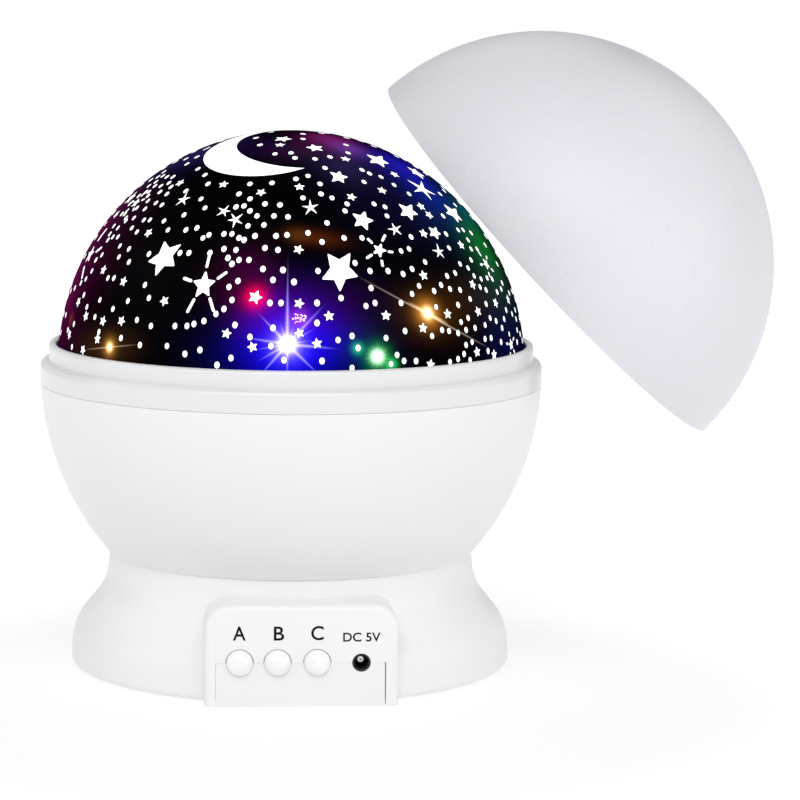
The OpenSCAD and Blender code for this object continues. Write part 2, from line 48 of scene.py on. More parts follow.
# ------------------------------------------------------------------ camera
CAM = Vector((-39.030, -879.134, 186.8))
YAW, PITCH, ROLL, FOCAL = math.radians(4.353), math.radians(7.712), math.radians(0.519), 3464.1
FWD = Vector((math.sin(YAW) * math.cos(PITCH), math.cos(YAW) * math.cos(PITCH), -math.sin(PITCH)))
level = Vector((math.cos(YAW), -math.sin(YAW), 0.0))
RIGHT = level * math.cos(ROLL) + level.cross(FWD) * math.sin(ROLL)
UP = RIGHT.cross(FWD)

cam_data = bpy.data.cameras.new("camera")
cam_data.sensor_width = 36.0
cam_data.lens = FOCAL / 800.0 * 36.0
cam_data.clip_start = 0.05
cam_data.clip_end = 100.0
cam = bpy.data.objects.new("camera", cam_data)
cam.location = CAM * S
cam.rotation_euler = Matrix((RIGHT, UP, -FWD)).transposed().to_euler()
scene.collection.objects.link(cam)
scene.camera = cam


# ------------------------------------------------------------------ dimensions (mm)
BOWL_R, BOWL_EQ, BOWL_DROP, PART_Z, SHOULDER_Z = 64.0, 76.0, 68.3, 72.5, 78.3
NECK_R, FOOT_R, FLARE_Z, FLARE_W = 46.4, 56.3, 15.8, 2.9
BASE_Z0, NECK_Z, WALL = 0.25, 29.2, 2.0
DOME_R, DOME_T, DOME_Z = 59.5, 1.5, 76.9
COVER_R, COVER_T, COVER_CUT, MOUTH_R = 63.73, 1.5, 2.65, 62.2
COVER_AT, COVER_TURN = Vector((72.8, 61.6, 98.3)), (7.0, 45.9)
CONSOLE_Y, BUTTON_Z = 56.6, 10.8
BUTTON_X, JACK_X = (-14.75, -5.57, 4.05), 14.8


def bowl_ro(z):
    return BOWL_R * math.sqrt(1 - ((z - BOWL_EQ) / BOWL_DROP) ** 2)


def base_ro(z):
    return NECK_R + (FOOT_R - NECK_R) / (1 + math.exp((z - FLARE_Z) / FLARE_W))


def base_edge(z):
    h, q = z - BASE_Z0, 1.8
    if h < q:
        return base_ro(z) - q + math.sqrt(max(0.0, q * q - (q - h) ** 2))
    return base_ro(z)


def span(a, b, n):
    return [a + (b - a) * i / n for i in range(n + 1)]


def arc(cx, cz, r, a0, a1, n):
    return [(cx + r * math.cos(math.radians(a)), cz + r * math.sin(math.radians(a))) for a in span(a0, a1, n)]


def rounded(pts, n=5):
    """A closed outline whose corners given as (x, z, radius) are filleted."""
    out, m = [], len(pts)
    for i, p in enumerate(pts):
        if len(p) == 2 or not p[2]:
            out.append((p[0], p[1]))
            continue
        a, b, c = Vector(pts[i - 1][:2]), Vector(p[:2]), Vector(pts[(i + 1) % m][:2])
        u, v = (a - b).normalized(), (c - b).normalized()
        half = u.angle(v) / 2
        t = min(p[2] / math.tan(half), 0.48 * (a - b).length, 0.48 * (c - b).length)
        r = t * math.tan(half)
        mid = b + (u + v).normalized() * (r / math.sin(half))
        p0, p1 = b + u * t - mid, b + v * t - mid
        a0, a1 = math.atan2(p0.y, p0.x), math.atan2(p1.y, p1.x)
        d = (a1 - a0 + math.pi) % (2 * math.pi) - math.pi
        for k in range(n + 1):
            out.append((mid.x + r * math.cos(a0 + d * k / n), mid.y + r * math.sin(a0 + d * k / n)))
    return out


# ------------------------------------------------------------------ mesh code
def lathe(profile, segs=256):
    """A closed outline of (radius, height) turned about Z."""
    verts, rows, faces = [], [], []
    for r, z in profile:
        if r < 1e-6:
            rows.append([len(verts)])
            verts.append((0.0, 0.0, z))
        else:
            rows.append(list(range(len(verts), len(verts) + segs)))
            verts += [(r * math.cos(2 * math.pi * k / segs), r * math.sin(2 * math.pi * k / segs), z) for k in range(segs)]
    for i in range(len(rows)):
        a, b = rows[i], rows[(i + 1) % len(rows)]
        if len(a) == 1 and len(b) == 1:
            continue
        for k in range(segs):
            j = (k + 1) % segs
            if len(a) == 1:
                faces.append((a[0], b[k], b[j]))
            elif len(b) == 1:
                faces.append((a[k], a[j], b[0]))
            else:
                faces.append((a[k], a[j], b[j], b[k]))
    return verts, faces


def box_mesh(x0, y0, z0, x1, y1, z1):
    v = [(x, y, z) for x in (x0, x1) for y in (y0, y1) for z in (z0, z1)]
    return v, [(0, 1, 3, 2), (4, 6, 7, 5), (0, 4, 5, 1), (2, 3, 7, 6), (0, 2, 6, 4), (1, 5, 7, 3)]


def rod(p, q, r, segs=48):
    """A cylinder between two points."""
    p, q = Vector(p), Vector(q)
    d = (q - p).normalized()
    u = d.orthogonal().normalized()
    w = d.cross(u)
    v = [tuple(c + r * (math.cos(2 * math.pi * k / segs) * u + math.sin(2 * math.pi * k / segs) * w)) for c in (p, q) for k in range(segs)]
    f = [(k, (k + 1) % segs, segs + (k + 1) % segs, segs + k) for k in range(segs)]
    return v, f + [tuple(range(segs - 1, -1, -1)), tuple(range(segs, 2 * segs))]


def joined(parts):
    verts, faces = [], []
    for v, f in parts:
        n = len(verts)
        verts += list(v)
        faces += [tuple(i + n for i in g) for g in f]
    return verts, faces


def mesh_object(name, verts, faces, scale=S):
    me = bpy.data.meshes.new(name)
    me.from_pydata([tuple(c * scale for c in v) for v in verts], [], faces)
    bm = bmesh.new()
    bm.from_mesh(me)
    bmesh.ops.recalc_face_normals(bm, faces=bm.faces)
    bm.to_mesh(me)
    bm.free()
    ob = bpy.data.objects.new(name, me)
    scene.collection.objects.link(ob)
    return ob


def carve(ob, steps):
    """Exact booleans in turn; the solids used up are removed."""
    for op, (v, f) in steps:
        tool = mesh_object("tool", v, f, 1.0)
        mod = ob.modifiers.new("b", "BOOLEAN")
        mod.operation, mod.solver, mod.object = op, "EXACT", tool
        dg = bpy.context.evaluated_depsgraph_get()
        dg.update()
        new = bpy.data.meshes.new_from_object(ob.evaluated_get(dg))
        ob.modifiers.clear()
        old, ob.data = ob.data, new
        bpy.data.meshes.remove(old)
        bpy.data.objects.remove(tool)
    return ob


def finished(ob, body, mat, nodes=(), sharp=30, weighted=True):
    me = ob.data
    me.materials.clear()
    me.materials.append(mat)
    me.shade_smooth()
    me.set_sharp_from_angle(angle=math.radians(sharp))
    if weighted:
        w = ob.modifiers.new("normals", "WEIGHTED_NORMAL")
        w.keep_sharp = True
    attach(ob, body)
    if nodes:
        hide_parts(*nodes)
    return ob


# ------------------------------------------------------------------ materials
class Graph:
    """Small helper for node materials with one Principled shader."""

    def __init__(self, name):
        self.mat = bpy.data.materials.new(name)
        self.mat.use_nodes = True
        self.t = self.mat.node_tree
        self.t.nodes.clear()
        self.out = self.t.nodes.new("ShaderNodeOutputMaterial")
        self.p = self.t.nodes.new("ShaderNodeBsdfPrincipled")
        self.t.links.new(self.p.outputs[0], self.out.inputs[0])
        self.coord = self.t.nodes.new("ShaderNodeTexCoord").outputs["Object"]

    def link(self, a, b):
        self.t.links.new(a, b)

    def put(self, sock, v):
        if hasattr(v, "links"):
            self.link(v, sock)
        else:
            sock.default_value = v

    def math(self, op, *args):
        n = self.t.nodes.new("ShaderNodeMath")
        n.operation = op
        for i, a in enumerate(args):
            self.put(n.inputs[i], a)
        return n.outputs[0]

    def vec(self, op, a, b=None, scale=None):
        n = self.t.nodes.new("ShaderNodeVectorMath")
        n.operation = op
        self.put(n.inputs[0], a)
        if b is not None:
            self.put(n.inputs[1], b)
        if scale is not None:
            self.put(n.inputs["Scale"], scale)
        return n.outputs["Value"] if op in ("DISTANCE", "DOT_PRODUCT", "LENGTH") else n.outputs[0]

    def noise(self, scale, detail=3.0, rough=0.5, vector=None, out="Fac"):
        n = self.t.nodes.new("ShaderNodeTexNoise")
        n.inputs["Scale"].default_value = scale
        n.inputs["Detail"].default_value = detail
        n.inputs["Roughness"].default_value = rough
        self.link(vector or self.coord, n.inputs["Vector"])
        return n.outputs[out]

    def ramp(self, fac, stops, mode="LINEAR"):
        n = self.t.nodes.new("ShaderNodeValToRGB")
        cr = n.color_ramp
        cr.interpolation = mode
        while len(cr.elements) < len(stops):
            cr.elements.new(0.5)
        for el, (pos, col) in zip(cr.elements, stops):
            el.position = pos
            el.color = (*col, 1.0) if len(col) == 3 else col
        self.link(fac, n.inputs[0])
        return n.outputs[0]

    def span(self, fac, lo, hi, a=0.3, b=0.7):
        n = self.t.nodes.new("ShaderNodeMapRange")
        n.inputs["From Min"].default_value, n.inputs["From Max"].default_value = a, b
        n.inputs["To Min"].default_value, n.inputs["To Max"].default_value = lo, hi
        self.link(fac, n.inputs["Value"])
        return n.outputs[0]

    def bump(self, height, strength, distance):
        n = self.t.nodes.new("ShaderNodeBump")
        n.inputs["Strength"].default_value = strength
        n.inputs["Distance"].default_value = distance
        self.link(height, n.inputs["Height"])
        self.link(n.outputs[0], self.p.inputs["Normal"])


def shade(c, k):
    return tuple(min(1.0, max(0.0, x * k)) for x in c)


def moulded(name, col, rough=0.34, vary=0.012, grain=700.0, bump=0.02, coat=0.0, spec=0.5, metal=0.0, spread=0.04, ior=1.5, cloud=24.0):
    """Moulded or rolled stuff: cloudy colour, uneven gloss, fine surface grain."""
    g = Graph(name)
    cloudy = g.noise(cloud, 4.0, 0.55)
    g.link(g.ramp(cloudy, [(0.25, shade(col, 1 - vary)), (0.5, col), (0.78, shade(col, 1 + vary))]), g.p.inputs["Base Color"])
    fine = g.noise(grain, 2.0, 0.6)
    g.link(g.span(g.noise(cloud * 3.1, 3.0, 0.6), rough - spread, rough + spread), g.p.inputs["Roughness"])
    g.bump(fine, bump, 0.0001)
    g.p.inputs["Metallic"].default_value = metal
    g.p.inputs["Specular IOR Level"].default_value = spec
    g.p.inputs["IOR"].default_value = ior
    if coat:
        g.p.inputs["Coat Weight"].default_value = coat
        g.p.inputs["Coat Roughness"].default_value = 0.22
    return g


WHITE = (0.795, 0.795, 0.803)
mats = {
    "white_shell": moulded("white_shell", WHITE, rough=0.30, vary=0.006, coat=1.0, bump=0.01, spread=0.02).mat,
    "white_bottom": moulded("white_bottom", shade(WHITE, 0.995), rough=0.36, vary=0.006, grain=1100, bump=0.02, coat=0.6, spread=0.02).mat,
    # foot, bowl and ring are the same white plastic in lit and shaded copies: painted light on the foot, painted shade
    # on the bowl, a deeper painted shade on the ring
    "foot_white_painted_lit": moulded("foot_white_painted_lit", shade(WHITE, 1.015), rough=0.50, vary=0.006, coat=0.08, bump=0.01, spread=0.03).mat,
    "bowl_white_painted_shade": moulded("bowl_white_painted_shade", shade(WHITE, 0.968), rough=0.44, vary=0.006, coat=0.22, bump=0.01, spread=0.02).mat,
    "ring_white_painted_shade": moulded("ring_white_painted_shade", shade(WHITE, 0.880), rough=0.36, vary=0.006, coat=0.5, bump=0.01, spread=0.02).mat,
    "button_white": moulded("button_white", (0.86, 0.86, 0.865), rough=0.26, vary=0.006, coat=0.8, bump=0.01, spread=0.02).mat,
    "black_plastic": moulded("black_plastic", (0.012, 0.012, 0.013), rough=0.38, vary=0.2, bump=0.04).mat,
    "tray_black": moulded("tray_black", (0.02, 0.02, 0.021), rough=0.6, vary=0.2, bump=0.05).mat,
    "nylon_natural": moulded("nylon_natural", (0.74, 0.70, 0.60), rough=0.45, vary=0.03, bump=0.04).mat,
    "grey_plastic": moulded("grey_plastic", (0.30, 0.31, 0.32), rough=0.45, vary=0.05, bump=0.05).mat,
    "steel": moulded("steel", (0.56, 0.57, 0.58), rough=0.28, vary=0.04, metal=1.0, bump=0.03).mat,
    "nickel": moulded("nickel", (0.70, 0.69, 0.66), rough=0.2, vary=0.03, metal=1.0, bump=0.02).mat,
    "brass": moulded("brass", (0.72, 0.52, 0.22), rough=0.25, vary=0.05, metal=1.0, bump=0.03).mat,
    "pcb_green": moulded("pcb_green", (0.015, 0.13, 0.05), rough=0.35, vary=0.15, coat=0.4, cloud=90).mat,
    "pcb_white": moulded("pcb_white", (0.78, 0.79, 0.78), rough=0.4, vary=0.03, coat=0.2).mat,
    "cell_jacket": moulded("cell_jacket", (0.42, 0.20, 0.05), rough=0.3, vary=0.08, coat=0.5, metal=0.3).mat,
    "wire_insulation": moulded("wire_insulation", (0.50, 0.03, 0.025), rough=0.42, vary=0.08).mat,
}
for led, col in (("led_clear", (0.9, 0.92, 0.95)), ("led_red", (0.8, 0.05, 0.03)), ("led_green", (0.05, 0.7, 0.12)), ("led_blue", (0.05, 0.12, 0.85))):
    g = moulded(led, col, rough=0.08, vary=0.05, bump=0.01, ior=1.54)
    g.p.inputs["Transmission Weight"].default_value = 0.7
    mats[led] = g.mat


# ------------------------------------------------------------------ where a pixel of the view meets the dome
DOME_C = Vector((0.0, 0.0, DOME_Z))


def ray(px, py):
    return (FWD + RIGHT * ((px - 400.0) / FOCAL) + UP * ((400.0 - py) / FOCAL)).normalized()


def dome_dir(px, py):
    """Unit direction from the dome's centre to where the view ray of a pixel meets it, or grazes it."""
    d = ray(px, py)
    o = CAM - DOME_C
    b = o.dot(d)
    disc = b * b - (o.dot(o) - DOME_R ** 2)
    if disc < 0:
        return (o - b * d).normalized()
    return (o + d * (-b - math.sqrt(disc))).normalized()


# ------------------------------------------------------------------ painted glow: the light of the lamps inside the dome, painted as emission on its surface, with starburst rays and streaks
def at(px, py):
    return DOME_C * S + dome_dir(px, py) * (DOME_R * S)


class Glow:
    def __init__(self, g):
        self.g, self.total = g, None

    def add(self, value, colour):
        v = self.g.vec("SCALE", colour, scale=value)
        self.total = v if self.total is None else self.g.vec("ADD", self.total, v)

    def spot(self, px, py, size, colour, flat=None, turn=0.0, power=None):
        """A soft spot of painted glow; flat gives its second size, turn the angle of the first in degrees from the
        view's right.
        """
        g, c = self.g, at(px, py)
        if flat is None:
            q = g.math("DIVIDE", g.vec("DISTANCE", g.coord, tuple(c)), size * S)
        else:
            t = math.radians(turn)
            e1 = (RIGHT * math.cos(t) + UP * math.sin(t)) / (size * S)
            e2 = (UP * math.cos(t) - RIGHT * math.sin(t)) / (flat * S)
            d = g.vec("SUBTRACT", g.coord, tuple(c))
            u, v = g.vec("DOT_PRODUCT", d, tuple(e1)), g.vec("DOT_PRODUCT", d, tuple(e2))
            q = g.math("SQRT", g.math("ADD", g.math("MULTIPLY", u, u), g.math("MULTIPLY", v, v)))
        if power is None:
            e = g.math("MULTIPLY", g.math("MULTIPLY", q, q), -1.0)
        else:
            e = g.math("MULTIPLY", g.math("POWER", q, power), -1.0)
        self.add(g.math("EXPONENT", e), colour)

    def rays(self, px, py, rays, width, colour, falloff=1.6):
        """Painted starburst: straight rays of light from one point: (angle, length) in degrees and mm, sorted here."""
        g, c = self.g, at(px, py)
        d = g.vec("SUBTRACT", g.coord, tuple(c))
        u = g.vec("DOT_PRODUCT", d, tuple(RIGHT / S))
        v = g.vec("DOT_PRODUCT", d, tuple(UP / S))
        r = g.math("SQRT", g.math("ADD", g.math("MULTIPLY", u, u), g.math("MULTIPLY", v, v)))
        a = g.math("MULTIPLY_ADD", g.math("ARCTAN2", v, u), 0.5 / math.pi, 0.5)
        rs = sorted(((ang / 360.0 + 0.5) % 1.0, ln) for ang, ln in rays)
        near, far = [], []
        n = len(rs)
        for i, (t, ln) in enumerate(rs):
            before = rs[i - 1][0] - (1.0 if i == 0 else 0.0)
            mid = (before + t) / 2
            gap = (t - before) / 2
            if mid >= 0:
                near.append((mid, gap))
                far.append((mid, ln))
            else:
                wrap = (mid + 1.0, gap, ln)
            near.append((t, 0.0))
        # the ends of the ramp carry on round the circle
        last, first = rs[-1], rs[0]
        mid = (last[0] + first[0] + 1.0) / 2
        gap = (first[0] + 1.0 - last[0]) / 2
        if mid <= 1.0:
            near.append((mid, gap))
            far.append((mid, first[1]))
            edge = 1.0 - mid
            near += [(0.0, first[0]), (1.0, gap - edge)]
            far.append((0.0, first[1]))
        else:
            edge = mid - 1.0
            near += [(0.0, gap - edge), (1.0, 1.0 - last[0])]
            near.append((edge, gap))
            far += [(0.0, last[1]), (edge, first[1])]
        near = sorted({round(p, 5): v for p, v in near}.items())
        far = sorted({round(p, 5): v for p, v in far}.items())
        k = 4.0
        dist = g.ramp(a, [(p, (min(1.0, q * k),) * 3) for p, q in near])
        longest = max(ln for _, ln in rays)
        reach = g.ramp(a, [(p, (q / longest,) * 3) for p, q in far], "CONSTANT")
        off = g.math("MULTIPLY", g.math("MULTIPLY", dist, 2 * math.pi / k), r)
        along = g.math("DIVIDE", r, g.math("MULTIPLY", reach, longest))
        fade = g.math("POWER", g.math("MAXIMUM", g.math("SUBTRACT", 1.0, along), 0.0), falloff)
        w = g.math("MULTIPLY_ADD", fade, width, 0.04)
        line = g.math("EXPONENT", g.math("MULTIPLY", g.math("POWER", g.math("DIVIDE", off, w), 1.5), -1.0))
        self.add(g.math("MULTIPLY", line, fade), colour)

    def streak(self, a, b, width, colour):
        """A thin straight streak of painted light between two pixels."""
        g = self.g
        p, q = at(*a), at(*b)
        c, ax = (p + q) / 2, (q - p)
        half = ax.length / 2
        ax.normalize()
        nrm = dome_dir((a[0] + b[0]) / 2, (a[1] + b[1]) / 2)
        side = (p - CAM * S).cross(q - CAM * S).normalized()
        d = g.vec("SUBTRACT", g.coord, tuple(c))
        u = g.math("DIVIDE", g.vec("DOT_PRODUCT", d, tuple(ax)), half)
        v = g.math("DIVIDE", g.vec("DOT_PRODUCT", d, tuple(side)), width * S)
        near = g.math("GREATER_THAN", g.vec("DOT_PRODUCT", d, tuple(nrm)), -0.012)
        fade = g.math("MAXIMUM", g.math("SUBTRACT", 1.0, g.math("ABSOLUTE", u)), 0.0)
        line = g.math("EXPONENT", g.math("MULTIPLY", g.math("MULTIPLY", v, v), -1.0))
        self.add(g.math("MULTIPLY", g.math("MULTIPLY", line, fade), near), colour)


# the dome's black plastic, with the painted glow of the lamps as its emission
g = Graph("dome_black")
w = Glow(g)
# the blue lamp and its wide light
w.spot(288, 352, 14.0, (0.0, 0.0, 0.24), flat=7.0, turn=0)
w.spot(287, 347, 8.5, (0.010, 0.004, 0.98), flat=7.5, turn=0)
w.spot(322, 336, 7.0, (0.0, 0.0, 0.21), flat=6.0, turn=0)
w.spot(322, 318, 11.0, (0.022, 0.0, 0.060), flat=7.0, turn=20)
w.spot(275, 305, 6.0, (0.032, 0.0, 0.090), flat=5.0, turn=0)
w.spot(300, 300, 7.0, (0.010, 0.0, 0.075), flat=6.0, turn=0)
w.spot(262, 322, 7.0, (0.026, 0.0, 0.095), flat=5.0, turn=0)
w.spot(287.3, 344.3, 3.1, (0.42, 0.30, 0.9))
w.spot(287.3, 344.3, 1.6, (3.0, 3.0, 3.2))
w.rays(287.3, 344.3, [(90, 23), (133, 13), (47, 17), (-5, 16), (9, 7), (30, 9), (-44, 13), (-90, 9.5), (-131, 12), (-150, 9.5), (-170, 8.5), (171, 13), (108, 6.5), (70, 5.5)], 0.42, (0.95, 0.78, 2.4))
# red lamp behind a star
w.spot(255.5, 297.5, 2.5, (1.25, 0.0, 0.03))
w.spot(252, 300, 5.0, (0.05, 0.0, 0.008))
w.spot(240, 285, 8.0, (0.016, 0.0, 0.009), flat=7.0, turn=0)
w.spot(250, 268, 6.0, (0.022, 0.0, 0.020), flat=5.0, turn=0)
# pink crystals: a painted pink glow round them on the black
w.spot(299.2, 319.0, 2.3, (0.30, 0.03, 0.30))
# green lamp
w.spot(377.5, 356.5, 1.35, (2.2, 3.0, 2.2))
w.spot(377.5, 356.5, 2.7, (0.0, 0.45, 0.06))
w.rays(377.5, 356.5, [(a, 3.6 if i % 2 else 4.6) for i, a in enumerate(range(-170, 180, 26))], 0.22, (0.10, 0.75, 0.16))
w.spot(357.8, 348.4, 1.3, (0.02, 0.60, 0.17))
w.spot(391.3, 364.5, 1.45, (0.03, 0.74, 0.14))
w.spot(366, 350, 6.0, (0.0, 0.010, 0.008))
# gold lamps
w.spot(427.5, 313, 1.25, (3.0, 2.5, 1.3))
w.spot(427.5, 313, 3.0, (0.90, 0.34, 0.04))
w.spot(428, 314, 7.0, (0.046, 0.017, 0.001), flat=4.8, turn=-20)
w.spot(455, 300, 8.5, (0.017, 0.006, 0.001), flat=5.5, turn=0)
w.spot(415, 332, 8.0, (0.006, 0.0006, 0.0006), flat=4.5, turn=0)
w.streak((358, 276.5), (488, 347.5), 0.17, (0.62, 0.46, 0.40))
w.streak((407, 301.8), (449, 324.7), 0.30, (1.5, 1.0, 0.42))
w.spot(109.5, 347, 0.95, (2.6, 2.0, 1.0))
w.spot(109.5, 347, 2.1, (0.55, 0.23, 0.03))
w.spot(107, 347, 7.0, (0.036, 0.014, 0.004), flat=4.5, turn=0)
w.streak((85, 349.5), (138, 344.5), 0.14, (0.55, 0.40, 0.28))
# painted glow: an orange glow near the top, and the coloured light along the rim
w.spot(318, 238, 6.2, (0.066, 0.011, 0.002), flat=1.9, turn=-8)
w.spot(297, 235, 2.7, (0.062, 0.022, 0.002), flat=1.6, turn=-10)
w.spot(70, 292, 10.0, (0.100, 0.003, 0.052))
w.spot(104, 224, 10.0, (0.105, 0.004, 0.052))
w.spot(85, 262, 12.0, (0.023, 0.0, 0.012), flat=8.0, turn=60)
w.spot(65, 335, 8.0, (0.016, 0.0, 0.010), flat=5.0, turn=60)
w.spot(125, 205, 10.0, (0.018, 0.003, 0.016), flat=6.0, turn=45)
w.spot(71, 319, 1.6, (0.14, 0.02, 0.012))
w.spot(150, 172, 9.0, (0.020, 0.012, 0.045))
w.spot(205, 150, 9.0, (0.018, 0.010, 0.080))
# a faint painted grey sheen on the black
w.spot(150, 268, 12.0, (0.0016, 0.0020, 0.0022))
w.spot(262, 148, 8.0, (0.003, 0.0, 0.016), flat=3.0, turn=0)
w.spot(300, 150, 9.0, (0.018, 0.004, 0.017), flat=3.0, turn=0)
w.spot(330, 139, 6.5, (0.147, 0.008, 0.105))
w.spot(349, 149, 5.0, (0.085, 0.025, 0.20))
w.spot(345, 168, 8.0, (0.014, 0.009, 0.045), flat=4.0, turn=-15)
w.spot(398, 165, 7.5, (0.012, 0.006, 0.34))
w.spot(428, 192, 7.5, (0.0, 0.002, 0.15))
w.spot(440, 205, 10.0, (0.003, 0.011, 0.056), flat=7.0, turn=-50)
w.spot(380, 200, 12.0, (0.002, 0.001, 0.012), flat=8.0, turn=-30)
w.spot(466, 213, 4.5, (0.0, 0.055, 0.050))
w.spot(480, 243, 8.0, (0.003, 0.125, 0.006))
w.spot(492, 268, 6.5, (0.001, 0.018, 0.012))
w.spot(496, 290, 8.0, (0.006, 0.013, 0.016), flat=6.0, turn=-60)
w.spot(506, 345, 9.0, (0.002, 0.002, 0.040), flat=5.0, turn=-80)
g.link(w.total, g.p.inputs["Emission Color"])
g.p.inputs["Emission Strength"].default_value = 1.0
g.link(g.ramp(g.noise(60.0), [(0.3, (0.0006, 0.0006, 0.0008)), (0.7, (0.0011, 0.0011, 0.0014))]), g.p.inputs["Base Color"])
g.link(g.span(g.noise(130.0), 0.26, 0.34), g.p.inputs["Roughness"])
g.p.inputs["Specular IOR Level"].default_value = 0.0
g.bump(g.noise(900.0), 0.02, 0.0001)
mats["dome_black"] = g.mat

# print: white, made to glow by emission as painted brightness, and tinted beside the coloured lamps by their painted
# light
g = Graph("print_white")
w = Glow(g)
w.spot(287, 345, 14.0, (0.10, 0.12, 0.0), flat=9.0)
w.spot(300, 320, 3.2, (0.02, 0.42, 0.16))
w.spot(317, 318, 3.0, (0.0, 0.16, 0.02))
w.spot(270, 303, 2.6, (0.0, 0.22, 0.14))
w.spot(224.5, 334.5, 2.0, (0.50, 0.06, 0.06))
w.spot(391, 364, 2.4, (0.30, 0.0, 0.26))
w.spot(358, 348, 2.2, (0.36, 0.0, 0.22))
w.spot(345, 338, 3.6, (0.34, 0.30, 0.06))
w.spot(372, 304, 3.2, (0.34, 0.34, 0.14))
print_glow_tone = g.ramp(g.noise(260.0), [(0.3, (0.90, 0.90, 0.915)), (0.7, (1.0, 1.0, 1.0))])
painted_print_glow = g.vec("MAXIMUM", g.vec("SUBTRACT", print_glow_tone, w.total), (0.0, 0.0, 0.0))
# the print's glow: painted brightness, less the painted lamp-light tints
g.link(painted_print_glow, g.p.inputs["Emission Color"])
g.p.inputs["Emission Strength"].default_value = 0.93
g.link(g.ramp(g.noise(200.0), [(0.3, (0.60, 0.60, 0.61)), (0.7, (0.68, 0.68, 0.69))]), g.p.inputs["Base Color"])
g.p.inputs["Roughness"].default_value = 0.55
g.p.inputs["Specular IOR Level"].default_value = 0.1
mats["print_white"] = g.mat
mats["print_edge"] = moulded("print_edge", (0.003, 0.003, 0.0035), rough=0.5, vary=0.3, spec=0.1).mat

# frosted cover: satin, with fine grain and a faint cool tint
g = Graph("cover_satin")
fine = g.noise(1500.0, 3.0, 0.7)
cloudy = g.noise(9.0, 3.0, 0.5)
mixed = g.math("ADD", g.math("MULTIPLY", fine, 0.55), g.math("MULTIPLY", cloudy, 0.45))
g.link(g.ramp(mixed, [(0.30, (0.622, 0.624, 0.665)), (0.5, (0.668, 0.670, 0.711)), (0.70, (0.708, 0.710, 0.753))]), g.p.inputs["Base Color"])
g.link(g.span(g.noise(60.0), 0.42, 0.52), g.p.inputs["Roughness"])
g.p.inputs["Subsurface Weight"].default_value = 0.12
g.p.inputs["Subsurface Radius"].default_value = (0.004, 0.004, 0.0045)
g.p.inputs["Subsurface Scale"].default_value = 1.0
g.bump(g.noise(1900.0, 2.0, 0.6), 0.16, 0.0001)
mats["cover_satin"] = g.mat


# ------------------------------------------------------------------ materials on the CAD nodes that stay
slot_of = {s["node"]: s["material_slot"] for s in frame["record"]["subparts"]}
for node, ob in frame["nodes"].items():
    ob.data.materials.clear()
    ob.data.materials.append(mats[slot_of[node]])


# ------------------------------------------------------------------ turning part
bowl_profile = rounded(
    [(46.85, 29.25, 0.06)]
    + [(bowl_ro(z), z) for z in span(30.2, 71.9, 96)]
    + [(bowl_ro(PART_Z), PART_Z, 0.28), (61.6, PART_Z, 0.1), (61.6, 74.0, 0.2), (60.0, 74.0, 0.2), (60.0, 72.0), (59.0, 72.0, 0.2), (59.0, 69.6, 0.3)]
    + [(bowl_ro(z) - WALL, z) for z in span(66.0, 34.0, 60)]
    + [(bowl_ro(32.0) - WALL - 0.6, 32.0, 0.8), (11.2, 32.0, 0.4), (11.2, 40.0, 0.3), (9.05, 40.0, 0.2), (9.05, 30.0, 0.2),
       (41.0, 30.0), (41.0, 26.15, 0.25), (43.0, 26.15, 0.25), (43.0, 30.0), (45.36, 30.0), (45.36, 29.25, 0.06)], 6)
parts = [lathe(bowl_profile)]
ob = mesh_object("bowl_body", *joined(parts), scale=1.0)
boss, bore = [], []
for a in (0, 120, 240):
    x, y = 19 * math.cos(math.radians(a)), 19 * math.sin(math.radians(a))
    boss.append(rod((x, y, 31.9), (x, y, 36.5), 2.4))
    bore.append(rod((x, y, 29.0), (x, y, 35.4), 0.9))
carve(ob, [("UNION", joined(boss)), ("DIFFERENCE", joined(bore))])
ob.data.transform(Matrix.Scale(S, 4))
finished(ob, "bowl", mats["bowl_white_painted_shade"], ["bowl_shell"])

ring_profile = rounded(
    [(61.7, PART_Z, 0.15), (BOWL_R - 0.02, PART_Z, 0.28)]
    + arc(BOWL_R - 1.8, SHOULDER_Z - 1.8, 1.8, 0, 90, 14)
    + [(61.8, SHOULDER_Z, 0.25)]
    + arc(60.75, SHOULDER_Z + 3.35, 1.05, 0, 180, 18)
    + [(59.7, 75.4, 0.15), (61.7, 75.4, 0.1)], 5)
finished(mesh_object("top_ring_body", *lathe(ring_profile, 320)), "bowl", mats["ring_white_painted_shade"], ["top_ring"])

dome_profile = (
    [(0.0, DOME_Z + DOME_R)]
    + [(DOME_R * math.cos(math.radians(a)), DOME_Z + DOME_R * math.sin(math.radians(a))) for a in span(89.3, 0, 132)]
    + [(DOME_R, 76.0), (DOME_R, 75.4), (61.3, 75.4), (61.5, 75.2), (61.5, 74.0), (DOME_R - DOME_T, 74.0)]
    + [((DOME_R - DOME_T) * math.cos(math.radians(a)), DOME_Z + (DOME_R - DOME_T) * math.sin(math.radians(a))) for a in span(0, 89, 72)]
    + [(0.0, DOME_Z + DOME_R - DOME_T)])
finished(mesh_object("star_dome_body", *lathe(dome_profile, 320)), "bowl", mats["dome_black"], ["star_dome"])


# ------------------------------------------------------------------ print on the dome
def frame_at(n):
    """East and north on the dome at a direction."""
    e = Vector((0, 0, 1)).cross(n)
    if e.length < 1e-4:
        e = Vector((1, 0, 0))
    e.normalize()
    return e, n.cross(e)


